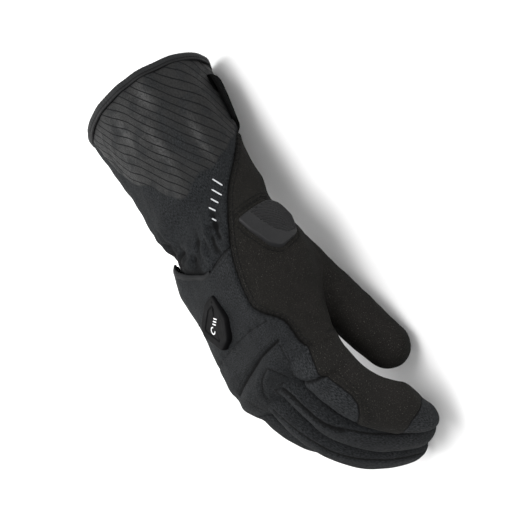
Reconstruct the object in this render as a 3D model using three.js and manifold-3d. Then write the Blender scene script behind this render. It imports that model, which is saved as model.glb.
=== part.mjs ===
// A heated winter glove for the right hand, in the pre-curved form that its padding holds by itself.
// Millimetres, +Z up. The glove lies palm down: the rim of the cuff and the fingertips touch the ground
// at z = 0. The arm runs along +Y and the thumb is on the +X side.
//
// The shell is modelled along the arm first, with the wrist at the origin, the cuff towards +Y, the back
// of the hand towards +Z and the thumb side towards +X. It is then tipped and set down on the ground.
import * as THREE from 'three';
import { mergeVertices } from 'three/addons/utils/BufferGeometryUtils.js';
import Module from 'manifold-3d';

const wasm = await Module();
wasm.setup();

// Lengths along the arm
const cuffLength = 117; // wrist to rim
const handLength = 114; // wrist to the web between the fingers
const palmReach = 60; // how far the suede of the palm climbs up the cuff

// Widths and depths of the shell, outside
const rimWidth = 117;
const rimSlant = 5; // how far the rim is cut back on the thumb side
const rimDepth = 77;
const wristWidth = 98;
const wristDepth = 62;
const handWidth = 104;
const handDepth = 58;

// Walls: outer cloth, wadding and lining together
const cuffWall = 3;
const handWall = 4;
const fingerWall = 3.5;
const wallChange = 7.2; // half the length over which the wall changes at the wrist

// Clearances
const seamGap = 0.35; // between panels sewn edge to edge
const pieceGap = 0.3; // between a piece and what it lies on

// How deep the padding is pressed flat where the glove rests
const restPress = 1.2;

// Binding round the rim
const bindingWidth = 6;
const bindingProud = 1.1; // how far it stands off the cloth, outside and inside

// Closing tab on the thumb side of the cuff, a webbing loop that bows off the cloth
const tabLength = 34; // along the arm
const tabFromRim = 12;
const tabThickness = 2.2;
const tabBow = 3.5;
const tabFromSide = -82; // degrees round the cuff
const tabToSide = -22;

// Bound edge over the back of the wrist
const pipeThickness = 3.6;

// Heating switch on the back of the hand
const buttonWidth = 34;
const buttonLength = 31;
const buttonHeight = 5; // above the cloth
const buttonRound = 2.4; // radius of its corners
const buttonEdge = 1.2; // bevel of its top edge
const buttonX = 2;
const buttonY = -54;

// Moulded patch on the thumb side of the wrist
const patchWidth = 38; // round the wrist
const patchLength = 37; // along the arm
const patchHeight = 2.6;
const patchY = -18;
const patchZ = -4;

// Sections of the shell from the wrist to the rim. along: share of cuffLength. wide and deep: how far the
// section has gone from the wrist's width and depth to the rim's. out and down: shift of its middle, as
// shares of rimWidth and rimDepth. square: exponent of the superellipse.
const cuffSections = [
  { along: 0.00, wide: 0.10, deep: 0.14, out: 0.028, down: 0.062, square: 2.2 },
  { along: 0.12, wide: 0.02, deep: 0.06, out: 0.026, down: 0.050, square: 2.2 },
  { along: 0.30, wide: 0.08, deep: 0.10, out: 0.024, down: 0.040, square: 2.1 },
  { along: 0.50, wide: 0.36, deep: 0.38, out: 0.014, down: 0.020, square: 2.1 },
  { along: 0.75, wide: 0.74, deep: 0.76, out: 0.006, down: 0.006, square: 2.1 },
  { along: 1.00, wide: 1.00, deep: 1.00, out: -0.006, down: -0.006, square: 2.1 },
];

// Sections of the shell from the wrist to the web. along: share of handLength. wide and deep: shares of
// handWidth and handDepth. out and down: shift of the middle as shares of the same sizes.
const handSections = [
  { along: 0.18, wide: 1.04, deep: 1.22, out: 0.030, down: 0.105, square: 2.2 },
  { along: 0.40, wide: 1.03, deep: 1.20, out: 0.030, down: 0.110, square: 2.3 },
  { along: 0.65, wide: 1.00, deep: 1.02, out: 0.012, down: 0.050, square: 2.4 },
  { along: 0.82, wide: 0.98, deep: 0.92, out: 0.006, down: 0.040, square: 2.4 },
  { along: 0.93, wide: 0.88, deep: 0.76, out: 0.010, down: 0.100, square: 2.3 },
  { along: 1.00, wide: 0.62, deep: 0.40, out: 0.010, down: 0.180, square: 2.2 },
];

// Folds and puffs of the padded shell. side: angle round the shell in degrees, 0 at the thumb side and 90
// on the back of the hand. along: place in shares of cuffLength or, below zero, of handLength. deep:
// share of the wall, outwards if positive. round and far: reach in degrees and in the same shares.
const folds = [
  { side: 100, along: 0.10, deep: -0.9, round: 70, far: 0.09 },
  { side: 60, along: 0.28, deep: 0.6, round: 26, far: 0.10 },
  { side: 100, along: 0.24, deep: 0.8, round: 22, far: 0.08 },
  { side: 140, along: 0.30, deep: 0.6, round: 24, far: 0.12 },
  { side: 200, along: 0.08, deep: -0.7, round: 50, far: 0.08 },
  { side: 280, along: 0.06, deep: -0.8, round: 60, far: 0.08 },
  { side: 135, along: -0.09, deep: 0.9, round: 45, far: 0.10 },
  { side: 110, along: -0.80, deep: -0.8, round: 50, far: 0.04 },
  { side: 80, along: -0.89, deep: 0.7, round: 60, far: 0.06 },
];

// Fingers. root: place of the knuckle across the hand, share of handWidth. sunk: its height, share of
// handDepth. start: share of handLength. wide and deep: outside width and depth. Three lengths, and the
// three angles in degrees that they point below the arm's line. splay: degrees outwards.
const fingerWidth = 27;
const fingerDepth = 28;
const fingerLength = 108; // middle finger, knuckle to tip
const fingerSquare = 2.3; // exponent of the superellipse
const fingerTaper = 0.12; // share of its thickness that a finger loses towards the tip
const fingerTip = 0.5; // length of the rounded tip, share of the finger's depth
const rootBend = 0.6; // share of the first angle that a finger already has at its root
const tipStraight = 0.4; // share of the last length that is straight
const fingers = [
  { name: 'index_finger', root: 0.362, sunk: -0.04, start: 0.86, wide: 1.06, deep: 1.22,
    lengths: [0.42, 0.26, 0.23], bends: [22, 60, 84], splay: -1 },
  { name: 'middle_finger', root: 0.112, sunk: 0.00, start: 0.87, wide: 0.94, deep: 1.08,
    lengths: [0.45, 0.29, 0.28], bends: [22, 63, 90], splay: 0 },
  { name: 'ring_finger', root: -0.122, sunk: 0.00, start: 0.86, wide: 0.94, deep: 1.06,
    lengths: [0.48, 0.31, 0.29], bends: [23, 63, 94], splay: 0.5 },
  { name: 'little_finger', root: -0.348, sunk: -0.06, start: 0.80, wide: 0.87, deep: 0.94,
    lengths: [0.38, 0.26, 0.28], bends: [26, 68, 98], splay: 1 },
];

// The thumb's middle line. out, along and down: shares of handWidth, handLength and handDepth. wide and
// deep: shares of thumbWidth and thumbDepth.
const thumbWidth = 38;
const thumbDepth = 34;
const thumbSquare = 2.2;
const thumbTip = 0.45; // length of the rounded tip, share of thumbDepth
const thumbTurn = 51.5; // degrees that the thumb's wide side is turned up
const thumbRows = [
  { out: 0.20, along: -0.04, down: 0.30, wide: 0.76, deep: 0.80 },
  { out: 0.23, along: 0.22, down: 0.49, wide: 0.86, deep: 0.92 },
  { out: 0.27, along: 0.56, down: 0.71, wide: 0.88, deep: 0.94 },
  { out: 0.31, along: 0.86, down: 0.92, wide: 0.90, deep: 0.92 },
  { out: 0.335, along: 1.08, down: 1.11, wide: 0.84, deep: 0.82 },
];

// The seam between the back of the hand and the suede of the palm. along: share of handLength below
// zero, and of palmReach above it. thumbSide and farSide: where the seam runs round the shell, degrees.
const seamRows = [
  { along: -1.20, thumbSide: 14, farSide: 188 },
  { along: -0.88, thumbSide: 22, farSide: 188 },
  { along: -0.71, thumbSide: 27, farSide: 188 },
  { along: -0.60, thumbSide: 46, farSide: 190 },
  { along: -0.52, thumbSide: 54, farSide: 192 },
  { along: -0.34, thumbSide: 53, farSide: 196 },
  { along: -0.13, thumbSide: 43, farSide: 200 },
  { along: 0.10, thumbSide: 28, farSide: 206 },
  { along: 0.45, thumbSide: 5, farSide: 214 },
  { along: 0.80, thumbSide: -22, farSide: 222 },
  { along: 1.00, thumbSide: -42, farSide: 228 },
];

// The seam between the cuff and the back of the hand. side: degrees round the shell. along: share of
// handLength.
const wristRows = [
  { side: 10, along: -0.16 },
  { side: 44, along: -0.18 },
  { side: 80, along: -0.19 },
  { side: 100, along: -0.11 },
  { side: 126, along: -0.02 },
  { side: 175, along: 0.03 },
  { side: 235, along: 0.03 },
];
const pipeFromSide = 74; // the bound edge runs from here round the back to the far side
const pipeToSide = 192;

// Outline of the heating switch. across and along: shares of buttonWidth and buttonLength.
const buttonCorners = [
  { across: 0.44, along: 0.48 },
  { across: 0.04, along: 0.50 },
  { across: -0.44, along: 0.26 },
  { across: -0.50, along: 0.06 },
  { across: -0.12, along: -0.50 },
  { across: 0.26, along: -0.44 },
  { across: 0.50, along: -0.10 },
];

// Outline of the moulded patch seen from the thumb side. up and along: shares of patchWidth and
// patchLength.
const patchCorners = [
  { up: 0.42, along: 0.30 },
  { up: -0.22, along: 0.50 },
  { up: -0.46, along: 0.42 },
  { up: -0.54, along: 0.10 },
  { up: -0.40, along: -0.32 },
  { up: 0.02, along: -0.52 },
  { up: 0.20, along: -0.40 },
  { up: 0.36, along: -0.04 },
];

// Fineness of the faceted surfaces
const shellSides = 34;
const hollowSides = 22;
const shellStep = 11; // length between sections of the shell
const hollowStep = 16;
const fingerSides = 16;
const fingerHollowSides = 12;
const fingerStep = 10;
const tipRings = 3;
const seamStep = 8;
const turnStep = 12; // degrees between sections of what runs round the shell
const palmSpans = 8;
const tipClosed = 0.02; // square of the share that is left of the width at the very tip
const leastHalf = 0.2; // a tube never gets thinner than twice this
const tiltHalvings = 20;

const clamp = THREE.MathUtils.clamp;
const radians = THREE.MathUtils.degToRad;

// Value of one column of a table at a place between its rows, on a smooth curve through them
function columnAt(rows, key, column, place) {
  const last = rows.length - 1;
  let row = 0;
  while (row < last - 1 && place > rows[row + 1][key]) row += 1;
  const before = rows[Math.max(row - 1, 0)];
  const from = rows[row];
  const to = rows[row + 1];
  const after = rows[Math.min(row + 2, last)];
  const span = to[key] - from[key];
  const share = clamp((place - from[key]) / span, 0, 1);
  const slopeFrom = (to[column] - before[column]) / (to[key] - before[key]) * span;
  const slopeTo = (after[column] - from[column]) / (after[key] - from[key]) * span;
  const square = share * share;
  const cube = square * share;
  return (2 * cube - 3 * square + 1) * from[column] + (cube - 2 * square + share) * slopeFrom
    + (3 * square - 2 * cube) * to[column] + (cube - square) * slopeTo;
}

// The shell's sections in millimetres, sorted from the web to the rim
const shellRows = [
  ...handSections.map((row) => ({
    y: -row.along * handLength,
    width: row.wide * handWidth,
    depth: row.deep * handDepth,
    x: row.out * handWidth,
    z: -row.down * handDepth,
    square: row.square,
  })).reverse(),
  ...cuffSections.map((row) => ({
    y: row.along * cuffLength,
    width: wristWidth + row.wide * (rimWidth - wristWidth),
    depth: wristDepth + row.deep * (rimDepth - wristDepth),
    x: row.out * rimWidth,
    z: -row.down * rimDepth,
    square: row.square,
  })),
];

function sectionAt(y) {
  const section = {};
  for (const column of ['width', 'depth', 'x', 'z', 'square']) {
    section[column] = columnAt(shellRows, 'y', column, y);
  }
  return section;
}

function turnBetween(a, b) {
  return Math.abs(((a - b + 540) % 360) - 180);
}

// How far the folds push the shell out at one place
function foldAt(y, side) {
  const along = y > 0 ? y / cuffLength : y / handLength;
  let push = 0;
  for (const fold of folds) {
    const round = turnBetween(side, fold.side) / fold.round;
    const far = (along - fold.along) / fold.far;
    push += fold.deep * handWall * Math.exp(-round * round - far * far);
  }
  return push;
}

// A point of the shell's outside, grown by a distance
function shellPoint(y, side, grow) {
  const section = sectionAt(y);
  const angle = radians(side);
  const power = 2 / section.square;
  const push = grow + foldAt(y, side);
  const cos = Math.cos(angle);
  const sin = Math.sin(angle);
  const slant = rimSlant * Math.max(y / cuffLength, 0) ** 2;
  return new THREE.Vector3(
    section.x + Math.sign(cos) * Math.abs(cos) ** power * (section.width / 2 + push),
    y - slant * cos,
    section.z + Math.sign(sin) * Math.abs(sin) ** power * (section.depth / 2 + push),
  );
}

// A closed solid through rings of points that all have the same count
function loft(rings) {
  const count = rings[0].length;
  const points = rings.flat();
  const middles = [rings[0], rings[rings.length - 1]].map((ring) => {
    const middle = new THREE.Vector3();
    ring.forEach((point) => middle.addScaledVector(point, 1 / count));
    return middle;
  });
  points.push(...middles);
  const index = [];
  const first = points.length - 2;
  for (let side = 0; side < count; side += 1) {
    const next = (side + 1) % count;
    index.push(first, next, side);
    for (let ring = 0; ring < rings.length - 1; ring += 1) {
      const a = ring * count + side;
      const b = ring * count + next;
      index.push(a, b, b + count, a, b + count, a + count);
    }
    const end = (rings.length - 1) * count;
    index.push(first + 1, end + side, end + next);
  }
  const geometry = new THREE.BufferGeometry();
  geometry.setAttribute('position', new THREE.Float32BufferAttribute(
    points.flatMap((point) => point.toArray()), 3));
  geometry.setIndex(index);
  return toSolid(geometry);
}

function toSolid(source) {
  const bare = source.clone();
  bare.deleteAttribute('normal');
  bare.deleteAttribute('uv');
  const merged = mergeVertices(bare, 1e-4);
  const solid = new wasm.Manifold(new wasm.Mesh({
    numProp: 3,
    vertProperties: new Float32Array(merged.attributes.position.array),
    triVerts: new Uint32Array(merged.index.array),
  }));
  return solid.volume() < 0 ? flipped(merged) : solid;
}

function flipped(geometry) {
  const index = geometry.index.array;
  const turned = new Uint32Array(index.length);
  for (let corner = 0; corner < index.length; corner += 3) {
    turned.set([index[corner], index[corner + 2], index[corner + 1]], corner);
  }
  return new wasm.Manifold(new wasm.Mesh({
    numProp: 3,
    vertProperties: new Float32Array(geometry.attributes.position.array),
    triVerts: turned,
  }));
}

// Thickness of the wall at a place along the arm
function wallAt(y) {
  const share = THREE.MathUtils.smoothstep(y, -wallChange, wallChange * 2);
  return handWall + share * (cuffWall - handWall);
}

// The shell as one solid between two places along the arm. grow: a distance, or a function of the place.
// past: length that the last section is carried on beyond its place.
function shellSolid({
  grow,
  from = -handLength,
  to = cuffLength,
  past = 0,
  sides = shellSides,
  step = shellStep,
}) {
  const growAt = typeof grow === 'function' ? grow : () => grow;
  const steps = Math.max(Math.round((to - from) / step), 1);
  const rings = [];
  for (let ring = 0; ring <= steps; ring += 1) {
    const y = from + (to - from) * ring / steps;
    rings.push(Array.from({ length: sides }, (none, side) => (
      shellPoint(y, 360 * side / sides, growAt(y)))));
  }
  if (from === -handLength) rings[0].forEach((point) => { point.y -= growAt(from); });
  if (past > 0) rings.push(rings[steps].map((point) => point.clone().setY(point.y + past)));
  return loft(rings);
}

// A solid round a middle line. frames: { middle, across, up, width, depth }.
function tubeSolid(frames, grow, square, sides) {
  const power = 2 / square;
  const rings = frames.map((frame) => {
    const ring = [];
    for (let side = 0; side < sides; side += 1) {
      const angle = 2 * Math.PI * side / sides;
      const cos = Math.cos(angle);
      const sin = Math.sin(angle);
      const across = Math.sign(cos) * Math.abs(cos) ** power * Math.max(frame.width / 2 + grow, leastHalf);
      const up = Math.sign(sin) * Math.abs(sin) ** power * Math.max(frame.depth / 2 + grow, leastHalf);
      ring.push(frame.middle.clone()
        .addScaledVector(frame.across, across)
        .addScaledVector(frame.up, up));
    }
    return ring;
  });
  return loft(rings);
}

// Places along a tube: even steps, then closer ones over the rounded tip
function tubeShares(total, round) {
  const straightEnd = (total - round) / total;
  const body = Math.round((total - round) / fingerStep);
  const shares = Array.from({ length: body + 1 }, (none, step) => straightEnd * step / body);
  for (let ring = 1; ring <= tipRings; ring += 1) {
    shares.push(straightEnd + (1 - straightEnd) * Math.sin(Math.PI / 2 * ring / tipRings));
  }
  return { shares, straightEnd };
}

// What is left of a tube's thickness in its rounded tip
function tipShare(share, straightEnd) {
  const tip = clamp((share - straightEnd) / (1 - straightEnd), 0, 1);
  return Math.sqrt(Math.max(1 - tip * tip, tipClosed));
}

// Middle line of a finger: three straight lengths joined by bends, sampled evenly
function fingerLine(finger) {
  const lengths = finger.lengths.map((share) => share * fingerLength);
  const total = lengths[0] + lengths[1] + lengths[2];
  const steps = Math.round(total / fingerStep);
  const points = [new THREE.Vector3(
    finger.root * handWidth,
    -finger.start * handLength,
    finger.sunk * handDepth,
  )];
  const bendRows = [
    { at: 0, turn: finger.bends[0] * rootBend },
    { at: lengths[0] / 2, turn: finger.bends[0] },
    { at: lengths[0] + lengths[1] / 2, turn: finger.bends[1] },
    { at: total - lengths[2] * tipStraight, turn: finger.bends[2] },
    { at: total, turn: finger.bends[2] },
  ];
  for (let step = 0; step < steps; step += 1) {
    const turn = radians(columnAt(bendRows, 'at', 'turn', total * (step + 0.5) / steps));
    const splay = radians(finger.splay);
    const direction = new THREE.Vector3(
      Math.sin(splay),
      -Math.cos(turn) * Math.cos(splay),
      -Math.sin(turn) * Math.cos(splay),
    ).normalize();
    points.push(points[step].clone().addScaledVector(direction, total / steps));
  }
  return { points, total };
}

// Frames of a finger, cut back from the tip by a distance and closed by a rounded end
function fingerFrames(finger, shorten) {
  const { points, total } = fingerLine(finger);
  const width = finger.wide * fingerWidth;
  const depth = finger.deep * fingerDepth;
  const curve = new THREE.CatmullRomCurve3(points);
  const { shares, straightEnd } = tubeShares(total, depth * fingerTip);
  return shares.map((share) => {
    const middle = curve.getPointAt(Math.min(share * (1 - shorten / total), 1));
    const forward = curve.getTangentAt(Math.min(share, 1));
    const across = new THREE.Vector3(1, 0, 0);
    across.addScaledVector(forward, -across.dot(forward)).normalize();
    const up = new THREE.Vector3().crossVectors(forward, across).normalize();
    const left = (1 - fingerTaper * share * share) * tipShare(share, straightEnd);
    return { middle, across, up, width: width * left, depth: depth * left };
  });
}

function fingerSolid(finger, grow, sides = fingerSides) {
  return tubeSolid(fingerFrames(finger, -grow), grow, fingerSquare, sides);
}

// Frames of the thumb, in the same way
function thumbFrames(shorten) {
  const points = thumbRows.map((row) => new THREE.Vector3(
    row.out * handWidth,
    -row.along * handLength,
    -row.down * handDepth,
  ));
  const curve = new THREE.CatmullRomCurve3(points);
  const total = curve.getLength();
  const { shares, straightEnd } = tubeShares(total, thumbDepth * thumbTip);
  const rows = thumbRows.map((row, place) => ({ at: place / (thumbRows.length - 1), ...row }));
  return shares.map((share) => {
    const middle = curve.getPointAt(Math.min(share * (1 - shorten / total), 1));
    const forward = curve.getTangentAt(Math.min(share, 1));
    const across = new THREE.Vector3(Math.cos(radians(thumbTurn)), 0, Math.sin(radians(thumbTurn)));
    across.addScaledVector(forward, -across.dot(forward)).normalize();
    const up = new THREE.Vector3().crossVectors(forward, across).normalize();
    const left = tipShare(share, straightEnd);
    return {
      middle,
      across,
      up,
      width: columnAt(rows, 'at', 'wide', share) * thumbWidth * left,
      depth: columnAt(rows, 'at', 'deep', share) * thumbDepth * left,
    };
  });
}

function thumbSolid(grow, sides = fingerSides) {
  return tubeSolid(thumbFrames(-grow), grow, thumbSquare, sides);
}

// A distance that lies outside the whole glove
const outside = handWidth * 1.5;

// The part of space that the suede of the palm takes up: below the seams, from the web to palmReach.
// ease turns the seams by a small angle away from the palm.
function palmSpace(ease) {
  const places = seamRows.map((row) => ({
    ...row,
    y: row.along > 0 ? row.along * palmReach : row.along * handLength,
  }));
  const start = places[0].y;
  const steps = Math.round((palmReach - start) / seamStep);
  const rings = Array.from({ length: steps + 1 }, (none, step) => {
    const y = start + (palmReach - start) * step / steps;
    const onShell = clamp(y, -handLength, cuffLength);
    const section = sectionAt(onShell);
    const from = columnAt(places, 'y', 'farSide', y) - ease;
    const to = 360 + columnAt(places, 'y', 'thumbSide', y) + ease;
    const edge = (side) => [-2 * handWall, 2 * handWall].map((grow) => shellPoint(onShell, side, grow));
    const ring = [new THREE.Vector3(section.x, y, section.z), ...edge(from)];
    for (let span = 0; span <= palmSpans; span += 1) {
      const angle = radians(from + (to - from) * span / palmSpans);
      ring.push(new THREE.Vector3(
        section.x + outside * Math.cos(angle),
        y,
        section.z + outside * Math.sin(angle),
      ));
    }
    ring.push(...edge(to).reverse());
    ring.forEach((point) => { point.y = y; });
    return ring;
  });
  rings[rings.length - 1].forEach((point) => { point.y += ease > 0 ? seamGap : 0; });
  return loft(rings);
}

// The part of space that the back of the hand takes up: from the wrist seam to beyond the fingers.
// ease moves the seam up the arm.
function handSpace(ease) {
  const core = wristDepth / 5;
  const start = -handLength * 2;
  const first = wristRows[0].side;
  const last = wristRows[wristRows.length - 1].side;
  const steps = Math.round((last - first) / turnStep);
  const rings = Array.from({ length: steps + 1 }, (none, step) => {
    const side = first + (last - first) * step / steps;
    const y = columnAt(wristRows, 'side', 'along', side) * handLength + ease;
    const onShell = shellPoint(y, side, 0);
    const middle = sectionAt(y);
    const away = Math.hypot(onShell.x - middle.x, onShell.z - middle.z);
    const at = (distance, place) => new THREE.Vector3(
      middle.x + (onShell.x - middle.x) * distance / away,
      place,
      middle.z + (onShell.z - middle.z) * distance / away,
    );
    return [at(core, start), at(outside, start), at(outside, y), at(core, y)];
  });
  return loft(rings);
}

// A closed outline with rounded corners
function roundedOutline(corners, radius) {
  const shape = new THREE.Shape();
  corners.forEach((corner, place) => {
    const before = corners[(place + corners.length - 1) % corners.length];
    const after = corners[(place + 1) % corners.length];
    const enter = corner.clone().add(before.clone().sub(corner).setLength(radius));
    const leave = corner.clone().add(after.clone().sub(corner).setLength(radius));
    if (place === 0) shape.moveTo(enter.x, enter.y);
    else shape.lineTo(enter.x, enter.y);
    shape.quadraticCurveTo(corner.x, corner.y, leave.x, leave.y);
  });
  shape.closePath();
  return shape;
}

const pastRim = cuffWall * 3;
const outer = shellSolid({ grow: 0 });
const hollow = shellSolid({
  grow: (y) => -wallAt(y), past: pastRim, sides: hollowSides, step: hollowStep,
});
const clearance = shellSolid({ grow: pieceGap, past: cuffLength });
const fingerHollows = fingers.map((finger) => fingerSolid(finger, -fingerWall, fingerHollowSides));
const thumbHollow = thumbSolid(-fingerWall, fingerHollowSides);
const pieces = [];

// Palm, back of the hand and cuff: one hollow shell, parted along its seams
let shell = outer.subtract(hollow).subtract(thumbHollow);
fingerHollows.forEach((space) => { shell = shell.subtract(space); });
const seamEase = THREE.MathUtils.radToDeg(seamGap / (handWidth / 2));
const aboveSeams = shell.subtract(palmSpace(seamEase));
pieces.push({ name: 'palm', solid: shell.intersect(palmSpace(0)) });
pieces.push({ name: 'hand_back', solid: aboveSeams.intersect(handSpace(0)) });
pieces.push({ name: 'gauntlet', solid: aboveSeams.subtract(handSpace(seamGap)) });

// Thumb and fingers: hollow tubes that end on the shell, each cut back from the finger before it
pieces.push({ name: 'thumb', solid: thumbSolid(0).subtract(thumbHollow).subtract(clearance) });
fingers.forEach((finger, place) => {
  let solid = fingerSolid(finger, 0).subtract(fingerHollows[place]).subtract(clearance);
  if (place > 0) solid = solid.subtract(fingerSolid(fingers[place - 1], pieceGap));
  pieces.push({ name: finger.name, solid });
});

// Binding folded over the rim
const bindingFrom = cuffLength - bindingWidth;
const folded = shellSolid({ grow: bindingProud, from: bindingFrom, past: bindingProud, step: bindingWidth });
const rimHollow = shellSolid({
  grow: -cuffWall - bindingProud,
  from: bindingFrom - bindingWidth,
  past: bindingWidth,
  sides: hollowSides,
  step: bindingWidth,
});
const rimCloth = shellSolid({ grow: pieceGap, past: pieceGap }).subtract(shellSolid({
  grow: (y) => -wallAt(y) - pieceGap, past: pastRim, sides: hollowSides, step: hollowStep,
}));
pieces.push({ name: 'cuff_binding', solid: folded.subtract(rimHollow).subtract(rimCloth) });

// Closing tab
const tabTo = cuffLength - bindingWidth - tabFromRim;
const tabFrom = tabTo - tabLength;
function tabSkin(lift) {
  const steps = Math.round((tabToSide - tabFromSide) / turnStep) * 2;
  const rings = Array.from({ length: steps + 1 }, (none, step) => {
    const share = step / steps;
    const side = tabFromSide + (tabToSide - tabFromSide) * share;
    const bow = tabBow * Math.sin(Math.PI * share) ** 2;
    const low = pieceGap + bow;
    return [
      shellPoint(tabFrom, side, low),
      shellPoint(tabFrom, side, low + lift),
      shellPoint(tabTo, side, low + lift),
      shellPoint(tabTo, side, low),
    ];
  });
  return loft(rings);
}
pieces.push({ name: 'cuff_tab', solid: tabSkin(tabThickness).subtract(clearance) });

// Bound edge over the wrist
const pipePoints = [];
for (let side = pipeFromSide; side <= pipeToSide; side += turnStep) {
  const y = columnAt(wristRows, 'side', 'along', side) * handLength;
  pipePoints.push(shellPoint(y, side, pipeThickness / 2 + pieceGap));
}
const pipeRing = new THREE.Shape().absarc(0, 0, pipeThickness / 2, 0, 2 * Math.PI);
const pipe = toSolid(new THREE.ExtrudeGeometry(pipeRing, {
  steps: pipePoints.length * 2,
  curveSegments: 3,
  extrudePath: new THREE.CatmullRomCurve3(pipePoints),
}));
pieces.push({ name: 'wrist_piping', solid: pipe.subtract(clearance) });

// Heating switch
const buttonTop = shellPoint(buttonY, 90, buttonHeight).z;
const buttonShape = roundedOutline(
  buttonCorners.map((corner) => new THREE.Vector2(
    corner.across * buttonWidth, corner.along * buttonLength)), buttonRound);
const button = new THREE.ExtrudeGeometry(buttonShape, {
  depth: handDepth / 2,
  bevelThickness: buttonEdge,
  bevelSize: buttonEdge,
  bevelOffset: -buttonEdge,
  bevelSegments: 1,
  curveSegments: 2,
});
button.translate(buttonX, buttonY, buttonTop - buttonEdge - handDepth / 2);
pieces.push({ name: 'heat_button', solid: toSolid(button).subtract(clearance) });

// Moulded patch
const patchShape = roundedOutline(
  patchCorners.map((corner) => new THREE.Vector2(
    -corner.up * patchWidth, corner.along * patchLength)), buttonRound);
const patchBlock = new THREE.ExtrudeGeometry(patchShape, {
  depth: handWidth,
  bevelEnabled: false,
  curveSegments: 2,
});
patchBlock.rotateY(Math.PI / 2);
patchBlock.translate(0, patchY, patchZ);
const patchReach = { from: patchY - patchLength, to: patchY + patchLength };
const patchSkin = shellSolid({ ...patchReach, grow: pieceGap + patchHeight });
pieces.push({
  name: 'wrist_patch',
  solid: toSolid(patchBlock).intersect(patchSkin).subtract(clearance)
    .subtract(thumbSolid(pieceGap)),
});

function biggest(solid) {
  return solid.decompose().sort((a, b) => b.volume() - a.volume())[0];
}

// Colours of the cloths, sRGB
const colours = {
  palm: 0x23221f,
  thumb: 0x1d1c1b,
  hand_back: 0x2c2f31,
  gauntlet: 0x303234,
  cuff_binding: 0x1b1c1d,
  cuff_tab: 0x0c0c0c,
  wrist_piping: 0x141414,
  heat_button: 0x17181a,
  wrist_patch: 0x2e2e30,
};

function toGeometry(solid) {
  const mesh = solid.getMesh();
  const geometry = new THREE.BufferGeometry();
  geometry.setAttribute('position', new THREE.BufferAttribute(new Float32Array(mesh.vertProperties), 3));
  geometry.setIndex(new THREE.BufferAttribute(new Uint32Array(mesh.triVerts), 1));
  return geometry;
}

// Lowest point of some pieces when the arm is tipped by an angle
function lowest(solids, tilt) {
  const posture = new THREE.Matrix4().makeRotationX(-tilt);
  const box = new THREE.Box3();
  solids.forEach((solid) => {
    box.union(new THREE.Box3().setFromBufferAttribute(
      toGeometry(solid).applyMatrix4(posture).attributes.position));
  });
  return box.min.z;
}

// The glove tips until both the cuff and the fingertips touch the ground
const solids = new Map(pieces.map((piece) => [piece.name, biggest(piece.solid)]));
const cuffEnd = [solids.get('cuff_binding')];
const fingerEnds = [...fingers.map((finger) => solids.get(finger.name)), solids.get('thumb')];
let lowTilt = 0;
let highTilt = Math.PI / 4;
for (let halving = 0; halving < tiltHalvings; halving += 1) {
  const tilt = (lowTilt + highTilt) / 2;
  if (lowest(cuffEnd, tilt) > lowest(fingerEnds, tilt)) lowTilt = tilt;
  else highTilt = tilt;
}
const restTilt = THREE.MathUtils.radToDeg(lowTilt);
const ground = lowest(cuffEnd, lowTilt) + restPress;

const aboveGround = new THREE.BoxGeometry(outside * 4, outside * 6, outside * 3);
aboveGround.translate(0, 0, ground + outside * 1.5);
const groundSpace = toSolid(aboveGround);
const glove = new THREE.Group();
const box = new THREE.Box3();
solids.forEach((solid, name) => {
  const lying = biggest(solid.rotate([-restTilt, 0, 0]).intersect(groundSpace));
  const geometry = toGeometry(lying);
  geometry.computeBoundingBox();
  box.union(geometry.boundingBox);
  const object = new THREE.Mesh(geometry, new THREE.MeshStandardMaterial({
    color: colours[name] ?? colours.hand_back,
    roughness: 0.9,
    metalness: 0,
  }));
  object.name = name;
  glove.add(object);
});
glove.position.set(-(box.min.x + box.max.x) / 2, -(box.min.y + box.max.y) / 2, -box.min.z);

export default glove;
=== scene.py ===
# %% [markdown]
# # A heated winter glove
# The real glove is sewn from panels of softshell and suede over a wadded liner, so its form is a padded
# shell with seams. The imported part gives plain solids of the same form. Here each panel is built again as
# a fine grid that lies on that form, so that seams, puckers, stitches and cloth can be laid along it.
# Everything is in metres in the part's frame. The helpers work in millimetres along the arm, because a
# glove is cut and sewn along the arm, and one function turns them into the frame.

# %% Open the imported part
from math import radians, sin, cos, pi, sqrt
import bpy
import numpy as np
from mathutils import Matrix, Vector
from mathutils.kdtree import KDTree


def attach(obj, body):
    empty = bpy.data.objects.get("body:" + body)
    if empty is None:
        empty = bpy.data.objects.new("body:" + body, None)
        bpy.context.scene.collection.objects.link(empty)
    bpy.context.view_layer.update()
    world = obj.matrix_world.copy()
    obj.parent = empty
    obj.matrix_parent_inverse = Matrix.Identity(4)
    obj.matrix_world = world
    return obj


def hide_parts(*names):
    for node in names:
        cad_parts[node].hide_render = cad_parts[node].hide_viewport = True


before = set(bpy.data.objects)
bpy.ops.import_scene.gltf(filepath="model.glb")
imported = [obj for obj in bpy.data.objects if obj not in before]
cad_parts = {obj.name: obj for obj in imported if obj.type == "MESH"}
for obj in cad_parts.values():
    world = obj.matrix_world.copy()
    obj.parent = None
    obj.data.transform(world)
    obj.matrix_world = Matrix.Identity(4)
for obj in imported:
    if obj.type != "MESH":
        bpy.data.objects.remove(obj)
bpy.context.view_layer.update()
print("solids:", sorted(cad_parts))

# %% [markdown]
# ## The form of the glove
# The shell is a row of rounded sections from the web between the fingers to the rim of the cuff, with the
# wrist at the origin, the cuff towards +Y, the back of the hand towards +Z and the thumb side towards +X.
# A place on it is a length along the arm and an angle round it: 0 degrees is the thumb side, 90 the back.
# The tables are those of the part, so that the panels lie where its solids are.

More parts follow.
